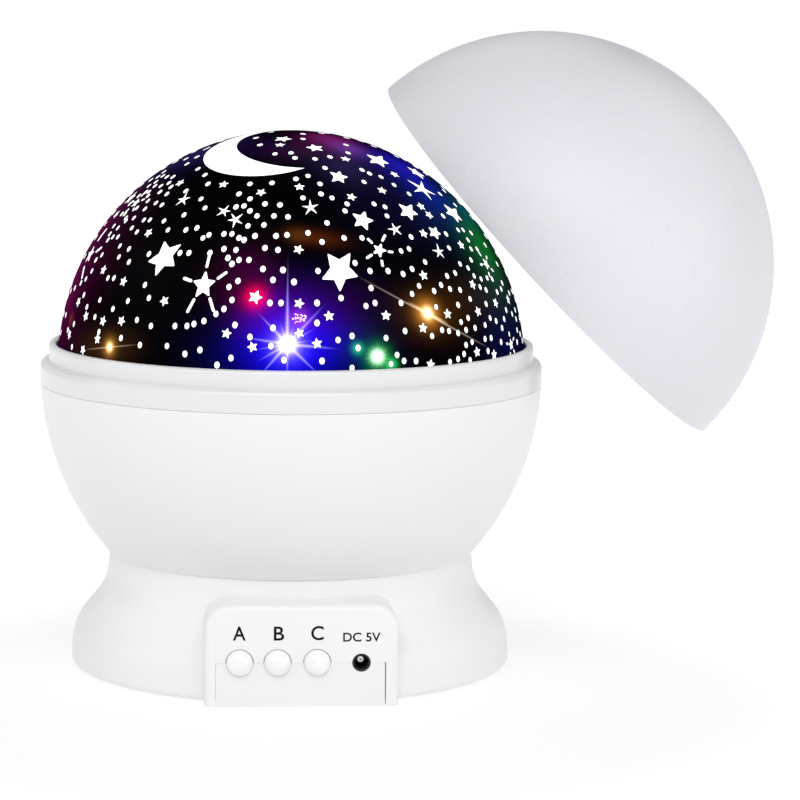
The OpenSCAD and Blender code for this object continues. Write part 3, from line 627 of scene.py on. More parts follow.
def plate_on_dome(n, outline, top, bottom, rings=1):
    """A thin closed plate that follows the dome, with an outline of (east, north) in mm about its middle."""
    e1, e2 = frame_at(n)
    m = len(outline)
    verts, faces = [], []
    for lift in (top, bottom):
        verts.append(tuple(DOME_C + n * (DOME_R + lift)))
        for k in range(1, rings + 1):
            for u, v in outline:
                d = (n * DOME_R + e1 * (u * k / rings) + e2 * (v * k / rings)).normalized()
                verts.append(tuple(DOME_C + d * (DOME_R + lift)))
    half = 1 + m * rings
    for side in (0, half):
        for i in range(m):
            j = (i + 1) % m
            faces.append((side, side + 1 + i, side + 1 + j))
            for k in range(1, rings):
                a, b = side + 1 + (k - 1) * m, side + 1 + k * m
                faces.append((a + i, b + i, b + j, a + j))
    rim = 1 + (rings - 1) * m
    for i in range(m):
        j = (i + 1) % m
        faces.append((rim + i, half + rim + i, half + rim + j, rim + j))
    return verts, faces


def dot_outline(r, n=14, tall=1.24):
    return [(r * math.cos(2 * math.pi * k / n), r * tall * math.sin(2 * math.pi * k / n)) for k in range(n)]


def star_outline(r, turn=0.0, inner=0.44, soft=0.06, grow=0.0, each=(1, 1, 1, 1, 1)):
    """Five points, the first at turn degrees from north, counted towards west."""
    pts = []
    for k in range(5):
        a = math.radians(90 + turn + 72 * k)
        b = a + math.radians(36)
        rr = r * each[k] + grow * 1.6
        pts.append((rr * math.cos(a), rr * math.sin(a), (soft * r) if soft else 0))
        ri = r * inner + grow
        pts.append((ri * math.cos(b), ri * math.sin(b), soft * r * 0.5))
    out = rounded(pts, 2)
    # long sides get a middle point, so that they follow the dome
    res = []
    for i, p in enumerate(out):
        q = out[(i + 1) % len(out)]
        res.append(p)
        if math.dist(p, q) > 1.2:
            res.append(((p[0] + q[0]) / 2, (p[1] + q[1]) / 2))
    return res


def bar_outline(length, width, turn, grow=0.0):
    """A stroke with round ends, its middle at the origin."""
    t = math.radians(turn)
    h, r = length / 2 - width / 2, width / 2 + grow
    pts = [(h + r * math.cos(math.radians(a)), r * math.sin(math.radians(a))) for a in (-90, -45, 0, 45, 90)]
    pts += [(0.0, r)] + [(-h + r * math.cos(math.radians(a)), r * math.sin(math.radians(a))) for a in (90, 135, 180, 225, 270)] + [(0.0, -r)]
    return [(x * math.cos(t) - y * math.sin(t), x * math.sin(t) + y * math.cos(t)) for x, y in pts]


TOP, RIM, UNDER = 0.055, 0.022, -0.15
white_parts, edge_parts, taken = [], [], []


def put(n, make, rings=1, size=1.0, edge=True):
    white_parts.append(plate_on_dome(n, make(0.0), TOP, UNDER, rings))
    if edge:
        edge_parts.append(plate_on_dome(n, make(0.13), RIM, UNDER, rings))
    taken.append((n, size))


def far_from_others(n, size):
    return all(n.dot(m) < math.cos((size + s + 0.45) / DOME_R) for m, s in taken)


def star(n, r, turn=0.0, inner=0.46, soft=0.07, rings=2, **kw):
    put(n, lambda gr: star_outline(r, turn, inner, soft, gr, **kw), rings, r)


def dot(n, r):
    put(n, lambda gr: dot_outline(r + gr), 1, r)


def stroke(p, q, width=0.8):
    """A stroke between two directions on the dome."""
    n = (p + q).normalized()
    e1, e2 = frame_at(n)
    d = (q - p) * DOME_R
    ln = d.length
    ang = math.degrees(math.atan2(d.dot(e2), d.dot(e1)))
    put(n, lambda gr: bar_outline(ln, width, ang, gr), 2 if ln > 2.5 else 1, ln / 2)


def starfish(n, r, turn):
    star(n, r, turn, inner=0.25, soft=0.05)


def star_through(tips, inner=0.42, soft=0.2, reach=1.0):
    """A star whose five points lie where the given pixels meet the dome."""
    ds = [dome_dir(x, y) for x, y in tips]
    n = sum(ds, Vector()).normalized()
    e1, e2 = frame_at(n)
    uv = [Vector((d.dot(e1), d.dot(e2))) * (DOME_R / d.dot(n)) for d in ds]
    mid = sum(uv, Vector((0.0, 0.0))) / 5
    uv = [mid + (p - mid) * reach for p in uv]
    far = max((p - mid).length for p in uv)

    def outline(grow):
        pts = []
        for k, p in enumerate(uv):
            q = uv[(k + 1) % 5]
            pts.append((*(p + (p - mid).normalized() * grow * 1.8), soft))
            m = mid + ((p + q) / 2 - mid) * (inner / math.cos(math.radians(36)))
            pts.append((*(m + (m - mid).normalized() * grow), soft * 0.5))
        res, out = [], rounded(pts, 2)
        for i, p in enumerate(out):
            q = out[(i + 1) % len(out)]
            res.append(p)
            if math.dist(p, q) > 1.4:
                res.append(((p[0] + q[0]) / 2, (p[1] + q[1]) / 2))
        return res

    # the plate fans out from its own middle
    n2 = (n * DOME_R + e1 * mid.x + e2 * mid.y).normalized()
    f1, f2 = frame_at(n2)

    def moved(grow):
        res = []
        for u, v in outline(grow):
            p = n * DOME_R + e1 * u + e2 * v
            res.append((p.dot(f1) * DOME_R / p.dot(n2), p.dot(f2) * DOME_R / p.dot(n2)))
        return res

    put(n2, moved, 4 if far > 3 else 2, far)
    return n2


def burst(n, r, turn, width=0.62, out=2.1):
    """A star with a detached ray off each point."""
    star(n, r, turn)
    e1, e2 = frame_at(n)
    for k in range(5):
        a = math.radians(90 + turn + 72 * k)
        d = e1 * math.cos(a) + e2 * math.sin(a)
        p = (n * DOME_R + d * (r * 1.28)).normalized()
        q = (n * DOME_R + d * (r * out)).normalized()
        stroke(p, q, width)
    taken.append((n, r * out))


def pixels(text):
    return [tuple(float(c) for c in t.split(",")) for t in text.split()]


rnd = random.Random(7)

# the crescent: what one circle on the dome leaves of another
def crescent():
    n1, a1 = Vector((-0.1172, -0.2675, 0.9564)).normalized(), math.radians(15.85)
    n2, a2 = Vector((0.0238, -0.2351, 0.9717)).normalized(), math.radians(15.55)
    c1, c2, gdot = math.cos(a1), math.cos(a2), n1.dot(n2)
    al, be = (c1 - gdot * c2) / (1 - gdot * gdot), (c2 - gdot * c1) / (1 - gdot * gdot)
    base, cross = n1 * al + n2 * be, n1.cross(n2)
    h = math.sqrt(max(0.0, (1 - base.dot(base)) / cross.dot(cross)))
    tips = (base + cross * h, base - cross * h)

    def angle_on(n, p):
        e1 = (n2 - n1 * gdot).normalized() if n is n1 else (n2 * gdot - n1).normalized()
        e2 = n.cross(e1)
        return math.atan2(p.dot(e2), p.dot(e1)), e1, e2

    t0, u1, v1 = angle_on(n1, tips[0])
    t1, _, _ = angle_on(n1, tips[1])
    s0, u2, v2 = angle_on(n2, tips[0])
    s1, _, _ = angle_on(n2, tips[1])
    # the outer arc goes round the side away from the second circle
    if t0 < 0:
        t0, t1, s0, s1 = t1, t0, s1, s0
    t1 += 2 * math.pi if t1 < t0 else 0.0
    N, M = 96, 8
    grid = []
    for i in range(N + 1):
        f = i / N
        f = f * f * (3 - 2 * f) * 0.5 + f * 0.5
        t, s = t0 + (t1 - t0) * f, None
        pa = n1 * math.cos(a1) + (u1 * math.cos(t) + v1 * math.sin(t)) * math.sin(a1)
        grid.append(pa)
    inner = []
    ds = (s1 - s0)
    # the inner arc is the part of the second circle inside the first
    for cand in (ds, ds + 2 * math.pi, ds - 2 * math.pi):
        mid = s0 + cand / 2
        pm = n2 * math.cos(a2) + (u2 * math.cos(mid) + v2 * math.sin(mid)) * math.sin(a2)
        if pm.dot(n1) > math.cos(a1) and abs(cand) < 2 * math.pi:
            ds = cand
            break
    for i in range(N + 1):
        f = i / N
        f = f * f * (3 - 2 * f) * 0.5 + f * 0.5
        s = s0 + ds * f
        inner.append(n2 * math.cos(a2) + (u2 * math.cos(s) + v2 * math.sin(s)) * math.sin(a2))
    return grid, inner, M


def crescent_plate(grow, top):
    outer, inner, M = crescent()
    N = len(outer) - 1
    verts, faces = [], []
    rows = []
    for lift in (top, UNDER):
        layer = []
        for i in range(N + 1):
            p, q = outer[i], inner[i]
            if grow:
                mid = (p + q).normalized()
                d = (p - q)
                dl = d.normalized() if d.length > 1e-6 else Vector((0, 0, 0))
                p, q = (p + dl * grow / DOME_R).normalized(), (q - dl * grow / DOME_R).normalized()
            row = []
            for k in range(M + 1):
                d = (p * (1 - k / M) + q * (k / M)).normalized()
                row.append(len(verts))
                verts.append(tuple(DOME_C + d * (DOME_R + lift)))
            layer.append(row)
        rows.append(layer)
    for layer in rows:
        for i in range(N):
            for k in range(M):
                faces.append((layer[i][k], layer[i + 1][k], layer[i + 1][k + 1], layer[i][k + 1]))
    a, b = rows
    for i in range(N):
        for k in (0, M):
            faces.append((a[i][k], a[i + 1][k], b[i + 1][k], b[i][k]))
    for i in (0, N):
        for k in range(M):
            faces.append((a[i][k], a[i][k + 1], b[i][k + 1], b[i][k]))
    return verts, faces


white_parts.append(crescent_plate(0.0, TOP))
edge_parts.append(crescent_plate(0.13, RIM))
o_arc, i_arc, _ = crescent()
for i in range(4, len(o_arc) - 4, 4):
    m = (o_arc[i] + i_arc[i]).normalized()
    taken.append((m, (o_arc[i] - i_arc[i]).length * DOME_R / 2))
moon_taken = list(taken)

# stars, read off the front of the dome
FRONT = []  # (kind, direction, radius, turn)
SMALL = "116.5,214.5 148.5,233 223.5,184.5 261,192.5 280,145 180,183 345.5,159 299.5,187 351.5,197 394.5,174.5 382,190.5 298.5,249.5 421,206.5 429,215 423.5,233.5 461,245 97.5,339 69.5,334.5 103.5,270 123.5,281.5 164.5,301 78.5,302 86,316 103,321 121.5,321 83,350 226.5,333.5 252.5,347 299,303.5 329,316 317,343.5 386,315.5 423.5,275.5 472.5,284.5 495.5,303 508,299.5 478,311.5 447.5,314 423,328 477,352 494,354.5 430.5,364.5 299.3,333.2"
MEDIUM = "131,198 283,139 315,148"
for x, y in pixels(SMALL):
    FRONT.append(("s", dome_dir(x, y), 1.45, rnd.uniform(-30, 30)))
for x, y in pixels(MEDIUM):
    FRONT.append(("m", dome_dir(x, y), 2.5, rnd.uniform(-30, 30)))
FRONT.append(("m", dome_dir(255.3, 297.2), 1.95, -20))
FRONT.append(("m", dome_dir(416.5, 172.8), 3.0, 14))
FRONT.append(("b", dome_dir(135.8, 203), 1.7, 12))
FRONT.append(("b", dome_dir(486, 264), 1.75, 15))
FRONT.append(("b", dome_dir(511, 344.5), 1.6, 8))


def place(kind, n, r, turn):
    if kind in ("s", "m"):
        star(n, r, turn, rings=1 if r < 1.5 else 3)
    elif kind == "f":
        starfish(n, r, turn)
    elif kind == "b":
        burst(n, r, turn)


for item in FRONT:
    place(*item)
TIPS = ["329.2,171.7 339.7,171.1 348.8,177.2 344.2,183.3 331.4,182.2", "351.8,213.2 364.9,210.9 374,220.8 367.9,231.1 354.1,226.5",
        "398.1,203.7 411.8,204.2 418.5,214.8 412.6,221.1 400.2,215.8", "428.1,226.9 435.9,226.6 441.3,234.4 438.4,239.9 429.2,236.1",
        "443.3,204.1 455.8,208.7 462.4,221.1 458.7,223.1 445.8,213.2", "366.2,154.5 382,156.1 389.1,163.9 384.5,167.8 369.5,162.8"]
FISH = ["408,180.5 421.3,181.7 434.7,194.6 431.2,199.6 414.6,191.6", "309.8,199.6 318.1,204.7 316.8,213.4 305.7,214.8 302.4,206.4",
        "391.9,223.1 400.7,225.8 401.5,234.7 393.6,235.4 387.4,229.1", "436.7,243.5 443.3,250.2 444.2,258 437.5,257.3 432.2,250.2",
        "187.6,191.8 190.1,197.6 185.1,204.9 175.6,205.4 178.5,199.3", "229,205.4 230.7,211.2 225.7,216.5 216.6,215.8 218.7,207.9",
        "242.6,214.2 242,223.6 232.7,228.1 227.7,220.3 231.5,213.7"]
READ = [("m", star_through(pixels(t), inner=0.47), 2.5) for t in TIPS] + [("f", star_through(pixels(t), inner=0.25, soft=0.05, reach=1.09), 2.5) for t in FISH]
big = [((164.7, 241.0), (147.8, 261.8), (155.2, 276.7), (174.6, 266.2), (181.8, 244.0)),
       ((327.3, 253.5), (321.5, 279.5), (340.0, 292.4), (358.3, 276.7), (350.5, 252.7))]
BIG = [star_through(t, inner=0.50) for t in big]
# the large burst left of the blue lamp, the one right of it, and one seen edge-on at the left
BURST = star_through(((206.3, 270.0), (193.0, 280.8), (195.0, 298.0), (209.6, 296.8), (216.2, 280.8)), inner=0.46)
BURST2 = star_through(((373.2, 244.7), (381.5, 242.4), (387.8, 251.0), (380.8, 259.0), (372.2, 254.0)), inner=0.40)
for a, b in (((367.1, 238.2), (372.6, 243.6)), ((385.3, 234.7), (381.9, 241.6)), ((387.6, 251.6), (393.4, 252.3)), ((381.5, 259.8), (382.8, 266.9)), ((372.4, 254.4), (366.2, 258.5))):
    stroke(dome_dir(*a), dome_dir(*b), 0.66)
for a, b, wd in (((206.6, 268.0), (210.5, 251.8), 0.70), ((217.0, 279.2), (227.4, 271.8), 0.72), ((192.2, 281.3), (183.4, 278.0), 0.80),
                 ((194.8, 298.4), (186.9, 313.0), 0.72), ((209.6, 297.4), (213.9, 312.0), 0.72),
                 ((107.3, 228.3), (97.6, 241.4), 0.85), ((102.2, 247.2), (95.8, 252.2), 0.8), ((84.6, 266.2), (81.9, 279.0), 0.8), ((86.5, 247.5), (80.5, 262.0), 0.7),
                 ((203.2, 150.4), (210.4, 146.9), 0.8)):
    stroke(dome_dir(*a), dome_dir(*b), wd)
star(dome_dir(90.3, 254.6), 2.9, 10, inner=0.36, rings=3)

DOTS = "369.5,173.6 303,134 256,138 303,139 260,145 275,154 291,153 346,145 348,153 186,159 187,164 197,157 295,158 315,159 330,157 164,172 198,169 205,175 325,168 362,170 370,174 151,180 156,182 158,177 163,176 167,177 169,183 173,177 208,184 250,184 272,183 296,179 308,176 320,184 364,182 381,177 394,185 146,192 149,186 149,192 155,186 160,192 161,186 167,194 171,187 186,191 239,194 321,194 409,194 440,194 444,191 130,204 139,196 148,196 148,201 156,203 201,199 250,199 265,204 303,198 332,198 347,204 374,204 122,214 125,214 137,208 145,209 162,205 184,215 205,208 236,207 244,206 250,211 280,205 345,211 385,207 455,205 126,218 126,221 134,218 144,220 150,220 164,221 257,216 264,225 274,216 288,217 327,223 387,216 443,216 110,234 114,226 118,228 132,228 137,232 168,230 186,230 197,228 209,235 224,234 232,234 248,226 287,235 308,233 446,234 458,230 463,230 471,233 108,240 113,237 118,237 203,238 239,238 244,240 255,236 276,236 322,242 344,238 362,238 411,237 468,240 485,245 102,255 120,246 129,249 149,254 180,253 189,253 210,253 224,249 236,250 265,248 278,250 401,251 409,249 449,248 471,249 477,249 96,260 119,257 129,262 228,258 232,264 239,260 249,260 355,263 425,262 460,264 471,260 487,257 497,264 92,271 263,269 283,270 318,271 370,271 388,271 403,274 412,269 455,273 468,268 81,283 86,279 108,278 114,278 238,281 273,280 294,282 447,276 474,276 481,279 487,278 492,279 502,283 71,291 75,288 84,295 145,285 229,287 371,288 412,294 419,286 434,291 441,285 450,289 460,290 480,287 486,290 497,292 501,289 509,293 100,300 128,301 149,298 232,300 270,303 281,303 317,303 341,298 375,303 401,303 458,305 470,299 486,304 66,315 87,307 113,309 216,314 224,309 366,306 436,307 506,310 512,314 515,310 74,324 95,317 137,320 194,324 204,321 317,323 461,322 468,318 485,325 490,318 496,321 504,319 516,319 68,330 99,332 151,326 175,326 187,326 235,325 273,328 405,331 442,330 449,331 458,333 466,330 475,328 502,328 517,330 520,334 121,338 140,345 250,337 338,340 352,336 386,338 432,336 472,342 485,339 491,338 501,342 506,342 517,342 63,346 72,347 167,346 185,354 200,350 271,346 358,348 464,354 466,345 488,351 521,348 217,365 231,358 284,360 322,361 391,364 397,355 404,361 416,361 450,362 458,359 470,360 476,360 500,355 352,368"
front_dots = []
for x, y in pixels(DOTS):
    n = dome_dir(x, y)
    if n.z * DOME_R + DOME_Z < 82.9:
        continue
    r = (0.68 + rnd.uniform(-0.03, 0.03)) * (1 - 0.13 * min(1.0, abs(n.dot(RIGHT)) * 1.3))
    if all(n.dot(m) < math.cos(0.9 / DOME_R) for m, s in taken):
        dot(n, r)
        front_dots.append((n, r))
# tiny crystals over the blue lamp, pink from the print's painted lamp-light tint
centre = dome_dir(299.2, 318.8)
ce1, ce2 = frame_at(centre)
for k in range(34):
    a, q = rnd.uniform(0, 2 * math.pi), 1.75 * math.sqrt(rnd.random())
    n = (centre * DOME_R + ce1 * (q * math.cos(a)) + ce2 * (q * 0.85 * math.sin(a))).normalized()
    white_parts.append(plate_on_dome(n, dot_outline(rnd.uniform(0.10, 0.19), 8), TOP, UNDER))

# the far side repeats the front turned half round, and seeded dots and stars fill what is left
half_turn = Matrix.Rotation(math.pi, 3, "Z")
for n, r, turn in ((BIG[0], 4.4, 160), (BIG[1], 4.9, 182), (BURST, 3.3, 0)):
    star(half_turn @ n, r, turn, inner=0.50, rings=4)
for kind, n, r in READ + [("b", BURST2, 1.8)]:
    if far_from_others(half_turn @ n, r * (2.1 if kind == "b" else 1.0)):
        place(kind, half_turn @ n, r, rnd.uniform(-30, 30))
for kind, n, r, turn in FRONT:
    m = half_turn @ n
    if far_from_others(m, r * (2.1 if kind == "b" else 1.0)):
        place(kind, m, r, turn)
for n, r in front_dots:
    m = half_turn @ n
    if far_from_others(m, r):
        dot(m, r)
count = 0
while count < 4000:
    count += 1
    z = rnd.uniform(0.115, 0.995)
    az = rnd.uniform(0, 2 * math.pi)
    n = Vector((math.sqrt(1 - z * z) * math.cos(az), math.sqrt(1 - z * z) * math.sin(az), z))
    toward = n.dot((CAM - (DOME_C + n * DOME_R)).normalized())
    if toward > 0.10:
        continue  # the front is as read
    roll = rnd.random()
    if roll < 0.02 and far_from_others(n, 2.9):
        star(n, 2.5, rnd.uniform(-36, 36), rings=2)
    elif roll < 0.10 and far_from_others(n, 1.9):
        star(n, 1.25, rnd.uniform(-36, 36), rings=1)
    elif far_from_others(n, 1.55):
        dot(n, 0.68 + rnd.uniform(-0.04, 0.04))

ob = mesh_object("star_print", *joined(white_parts))
bm = bmesh.new()
bm.from_mesh(ob.data)
bmesh.ops.remove_doubles(bm, verts=bm.verts, dist=1e-7)
bmesh.ops.dissolve_degenerate(bm, dist=1e-8, edges=bm.edges)
bmesh.ops.recalc_face_normals(bm, faces=bm.faces)
bm.to_mesh(ob.data)
bm.free()
finished(ob, "bowl", mats["print_white"], weighted=False)
ob = mesh_object("star_print_edges", *joined(edge_parts))
bm = bmesh.new()
bm.from_mesh(ob.data)
bmesh.ops.remove_doubles(bm, verts=bm.verts, dist=1e-7)
bmesh.ops.dissolve_degenerate(bm, dist=1e-8, edges=bm.edges)
bmesh.ops.recalc_face_normals(bm, faces=bm.faces)
bm.to_mesh(ob.data)
bm.free()
finished(ob, "bowl", mats["print_edge"], weighted=False)


# ------------------------------------------------------------------ foot with its console
foot_profile = (
    [(0.0, BASE_Z0)]
    + [(base_edge(z), z) for z in [BASE_Z0 + 1.8 * (1 - math.cos(math.radians(a))) for a in span(0, 90, 14)]]
    + [(base_ro(z), z) for z in span(2.4, 28.9, 100)]
    + arc(base_ro(NECK_Z) - 0.08, NECK_Z - 0.08, 0.08, 10, 90, 5)
    + [(0.0, NECK_Z)])


def console_ring(inset, y, n=14):
    v, w, top, bottom, r = 23.2 - inset, 23.9 - inset, 24.9 - 0.93 * inset, 0.05 + 0.1 * inset, 6 - 0.6 * inset
    pts = [(-v, bottom)] + [(-v, bottom + (top - r - bottom) * k / 6) for k in range(1, 6)]
    pts += [(-v + r + r * math.cos(math.radians(a)), top - r + r * math.sin(math.radians(a))) for a in span(180, 90, n)]
    pts += [(-v + r + (v + w - 2 * r) * k / 8, top) for k in range(1, 8)]
    pts += [(w - r + r * math.cos(math.radians(a)), top - r + r * math.sin(math.radians(a))) for a in span(90, 0, n)]
    pts += [(w, top - r + (bottom - top + r) * k / 6) for k in range(1, 6)] + [(w, bottom)]
    return [(x, y, z) for x, z in pts]


def console_mesh():
    rings = [console_ring(0, -38.0), console_ring(0, -50.0)]
    for a in span(0, 90, 10):
        t = math.radians(a)
        rings.append(console_ring(1.4 * (1 - math.cos(t)), -CONSOLE_Y + 1.6 * (1 - math.sin(t))))
    m = len(rings[0])
    verts = [p for r in rings for p in r]
    faces = [tuple(range(m - 1, -1, -1)), tuple((len(rings) - 1) * m + k for k in range(m))]
    for i in range(len(rings) - 1):
        for k in range(m):
            j = (k + 1) % m
            faces.append((i * m + k, i * m + j, (i + 1) * m + j, (i + 1) * m + k))
    return verts, faces


inside_profile = [(0.0, -1.0), (53.0, -1.0), (53.0, 3.4)] + [(base_ro(z) - WALL, z) for z in span(3.6, 23.5, 40)] + [(0.0, 23.5)]
screw_at = ((-36, -20), (36, -20), (-30, 30), (30, 30))
gear_screw_at = ((-22.5, 24), (13.5, 35), (19.6, 20.4))
post_at = [(11.6 * math.cos(math.radians(a)), 11.6 * math.sin(math.radians(a))) for a in (30, 150, 270)]
bosses = [rod((x, y, 3), (x, y, 23.6), 2.8, 32) for x, y in screw_at]
bosses += [rod((x, y, 18.5), (x, y, 24.5), 2.2, 32) for x, y in post_at]
bosses2 = [rod((x, y, 23.6), (x, y, 28.1), 2.2, 32) for x, y in gear_screw_at]
bosses2 += [rod((x, -54.7, 18.6), (x, -47.6, 18.6), 2.2, 32) for x in (-16.5, 16.5)]
holes = [rod((x, y, 2), (x, y, 13), 1.15, 24) for x, y in screw_at]
holes += [rod((x, y, 22.5), (x, y, 29), 0.9, 24) for x, y in gear_screw_at]
holes += [rod((x, y, 19.5), (x, y, 27.5), 0.9, 24) for x, y in post_at]
holes += [rod((x, -53.6, 18.6), (x, -46, 18.6), 0.9, 24) for x in (-16.5, 16.5)]
holes += [rod((x, -59.6, BUTTON_Z), (x, -50, BUTTON_Z), 3.42, 96) for x in BUTTON_X]
holes += [rod((JACK_X, -59.6, BUTTON_Z), (JACK_X, -50, BUTTON_Z), 2.26, 64)]
holes += [rod((0, 0, 22.5), (0, 0, 26.5), 6.0, 64), rod((0, 28.8, 22.5), (0, 28.8, 26.5), 2.2, 32)]
ob = mesh_object("base_body", *lathe(foot_profile), scale=1.0)
carve(ob, [
    ("UNION", console_mesh()),
    ("DIFFERENCE", lathe(inside_profile, 192)),
    ("DIFFERENCE", lathe([(0.0, 25.5), (44.4, 25.5), (44.4, 36.0), (0.0, 36.0)], 256)),
    ("DIFFERENCE", box_mesh(-20.6, -54.6, -1.0, 20.6, -34.6, 23.2)),
    ("DIFFERENCE", box_mesh(-20.6, -57.6, -1.0, 20.8, -51.6, BUTTON_Z + 0.03)),
    ("UNION", joined(bosses)),
    ("UNION", joined(bosses2)),
    ("DIFFERENCE", joined(holes)),
])
ob.data.transform(Matrix.Scale(S, 4))
finished(ob, "base", mats["foot_white_painted_lit"], ["base_shell"])


# ------------------------------------------------------------------ buttons
def facing_front(x, z, y0, mesh):
    """A turned part whose axis points at the viewer: height goes along -Y."""
    v, f = mesh
    return [(x + a, y0 - h, z + b) for a, b, h in v], f


def button_profile():
    h, r = 2.3, 3.27
    rs = (r * r + h * h) / (2 * h)
    a0 = math.degrees(math.asin((rs - h) / rs))
    dome = [(rs * math.cos(math.radians(a)), h - rs + rs * math.sin(math.radians(a))) for a in span(89.0, a0 + 3.0, 26)]
    return [(0.0, h)] + dome + rounded([(r, -0.02, 0.0), (r, -2.3, 0.0), (r, -2.05), (4.1, -2.05, 0.15), (4.1, -3.2, 0.15), (1.5, -3.2), (1.5, -4.3, 0.1), (0.0, -4.3)], 3)


for x, k in zip(BUTTON_X, "abc"):
    prof = [(r, z) for r, z in button_profile() if not (abs(r - 3.27) < 1e-6 and z < -2.2)]
    finished(mesh_object("button_%s_cap" % k, *facing_front(x, BUTTON_Z, -CONSOLE_Y, lathe(prof, 96))), "key_" + k, mats["button_white"], ["button_" + k])


# ------------------------------------------------------------------ underside cover, socket and pin
def slab(x0, x1, y0, y1, z0, z1, r, corners=(1, 1, 1, 1), axis="z", n=8):
    """A box with rounded edges along one axis; corners are listed from the low-low one, counter-clockwise."""
    spec = [(x0, y0, r * corners[0]), (x1, y0, r * corners[1]), (x1, y1, r * corners[2]), (x0, y1, r * corners[3])]
    out = rounded([c if c[2] else c[:2] for c in spec], n)
    m = len(out)
    verts = [(a, b, z) for z in (z0, z1) for a, b in out]
    if axis == "y":
        verts = [(a, c, b) for a, b, c in verts]
    faces = [tuple(range(m - 1, -1, -1)), tuple(range(m, 2 * m))]
    return verts, faces + [(k, (k + 1) % m, m + (k + 1) % m, m + k) for k in range(m)]


def tongue_mesh():
    """The strip of the console front under the buttons, with its lower corners and front edges rounded."""
    def ring(inset, y):
        return [(a, y, b) for a, b in rounded(
            [(-20.56 + inset, 0.15 + inset, 1.1), (20.57 - inset, 0.15 + inset, 0.7), (20.57 - inset, BUTTON_Z - inset, 0.08), (-20.56 + inset, BUTTON_Z - inset, 0.08)], 6)]
    rows = [ring(0.0, -54.62), ring(0.0, -CONSOLE_Y + 0.06), ring(0.02, -CONSOLE_Y + 0.02), ring(0.05, -CONSOLE_Y)]
    m = len(rows[0])
    verts = [p for r in rows for p in r]
    faces = [tuple(range(m)), tuple(3 * m + k for k in range(m - 1, -1, -1))]
    for i in range(3):
        faces += [(i * m + k, (i + 1) * m + k, (i + 1) * m + (k + 1) % m, i * m + (k + 1) % m) for k in range(m)]
    return verts, faces


plate_profile = rounded([(0.0, 1.0), (48.0, 1.0), (48.0, 0.0, 0.25), (51.0, 0.0, 0.25), (51.0, 1.0, 0.15), (52.8, 1.0, 0.35), (52.8, 3.0, 0.1), (0.0, 3.0)], 4)
RIB_AT = (3.6603, 25.1397)
motor_rib = rounded([(7.6, 2.0), (9.0, 2.0), (9.0, 3.6, 0.2), (7.6, 3.6, 0.2)], 3)
rib_v, rib_f = lathe(motor_rib, 64)
rib_v = [(a + RIB_AT[0], b + RIB_AT[1], c) for a, b, c in rib_v]
ob = mesh_object("bottom_cover_body", *lathe(plate_profile, 256), scale=1.0)
low_holes = [rod((x, -59.6, BUTTON_Z), (x, -50, BUTTON_Z), 3.295, 96) for x in BUTTON_X]
low_holes += [rod((JACK_X, -59.6, BUTTON_Z), (JACK_X, -50, BUTTON_Z), 2.26, 64)]
recesses = [rod((x, y, -0.5), (x, y, 5.2), 1.35, 32) for x, y in screw_at]
wide = [rod((x, y, -0.5), (x, y, 2.2), 2.6, 48) for x, y in screw_at]
carve(ob, [
    ("UNION", slab(-26.5, 26.5, -39.4, 7.6, 1.3, 15.6, 0.8)),
    ("UNION", slab(-20.3, 20.3, -55.4, -46.6, 0.6, 3.0, 0.3)),
    ("UNION", tongue_mesh()),
    ("UNION", (rib_v, rib_f)),
    ("DIFFERENCE", slab(-24.9, 24.9, -38.2, 6.4, -1.0, 14.4, 0.25)),
    ("DIFFERENCE", slab(-6.0, 6.0, 5.4, 8.6, -0.5, 2.0, 1.0, (0, 0, 1, 1))),
    ("DIFFERENCE", rod((-26.0, -36.8, 2.6), (26.0, -36.8, 2.6), 0.85, 32)),
    ("DIFFERENCE", joined([box_mesh(-27.9, y - 1.6, 9.0, -23.9, y + 1.6, 9.6) for y in (-32.6, 0.7)])),
    ("DIFFERENCE", joined(recesses)),
    ("DIFFERENCE", joined(wide)),
    ("DIFFERENCE", joined(low_holes)),
])
ob.data.transform(Matrix.Scale(S, 4))
finished(ob, "base", mats["white_bottom"], ["bottom_cover"])

# socket with a rounded nose, and a hollow pin with a rounded tip
nose = rounded([(1.75, -54.25), (2.18, -54.25), (2.18, -56.45, 0.22), (1.75, -56.45, 0.18)], 5)
ob = mesh_object("dc_socket_body", *slab(JACK_X - 3.1, JACK_X + 3.1, BUTTON_Z - 3.2, BUTTON_Z + 3.2, -54.4, -47.6, 0.35, axis="y"), scale=1.0)
carve(ob, [
    ("DIFFERENCE", rod((JACK_X, -56.0, BUTTON_Z), (JACK_X, -48.6, BUTTON_Z), 1.75, 64)),
    ("UNION", facing_front(JACK_X, BUTTON_Z, 0.0, lathe([(r, -y) for r, y in nose], 64))),
])
ob.data.transform(Matrix.Scale(S, 4))
finished(ob, "base", mats["black_plastic"], ["dc_socket"])
pin = rounded([(0.0, 48.6), (0.80, 48.6), (0.80, 52.6, 0.07), (0.30, 52.6, 0.05), (0.30, 51.6), (0.0, 51.6)], 4)
finished(mesh_object("dc_pin_body", *facing_front(JACK_X, BUTTON_Z, 0.0, lathe(pin, 48))), "base", mats[slot_of["dc_pin"]], ["dc_pin"])


# ------------------------------------------------------------------ legends: plain letters over the keys and the socket
ink = moulded("legend_ink", (0.004, 0.004, 0.0045), rough=0.6, vary=0.3, spec=0.1).mat


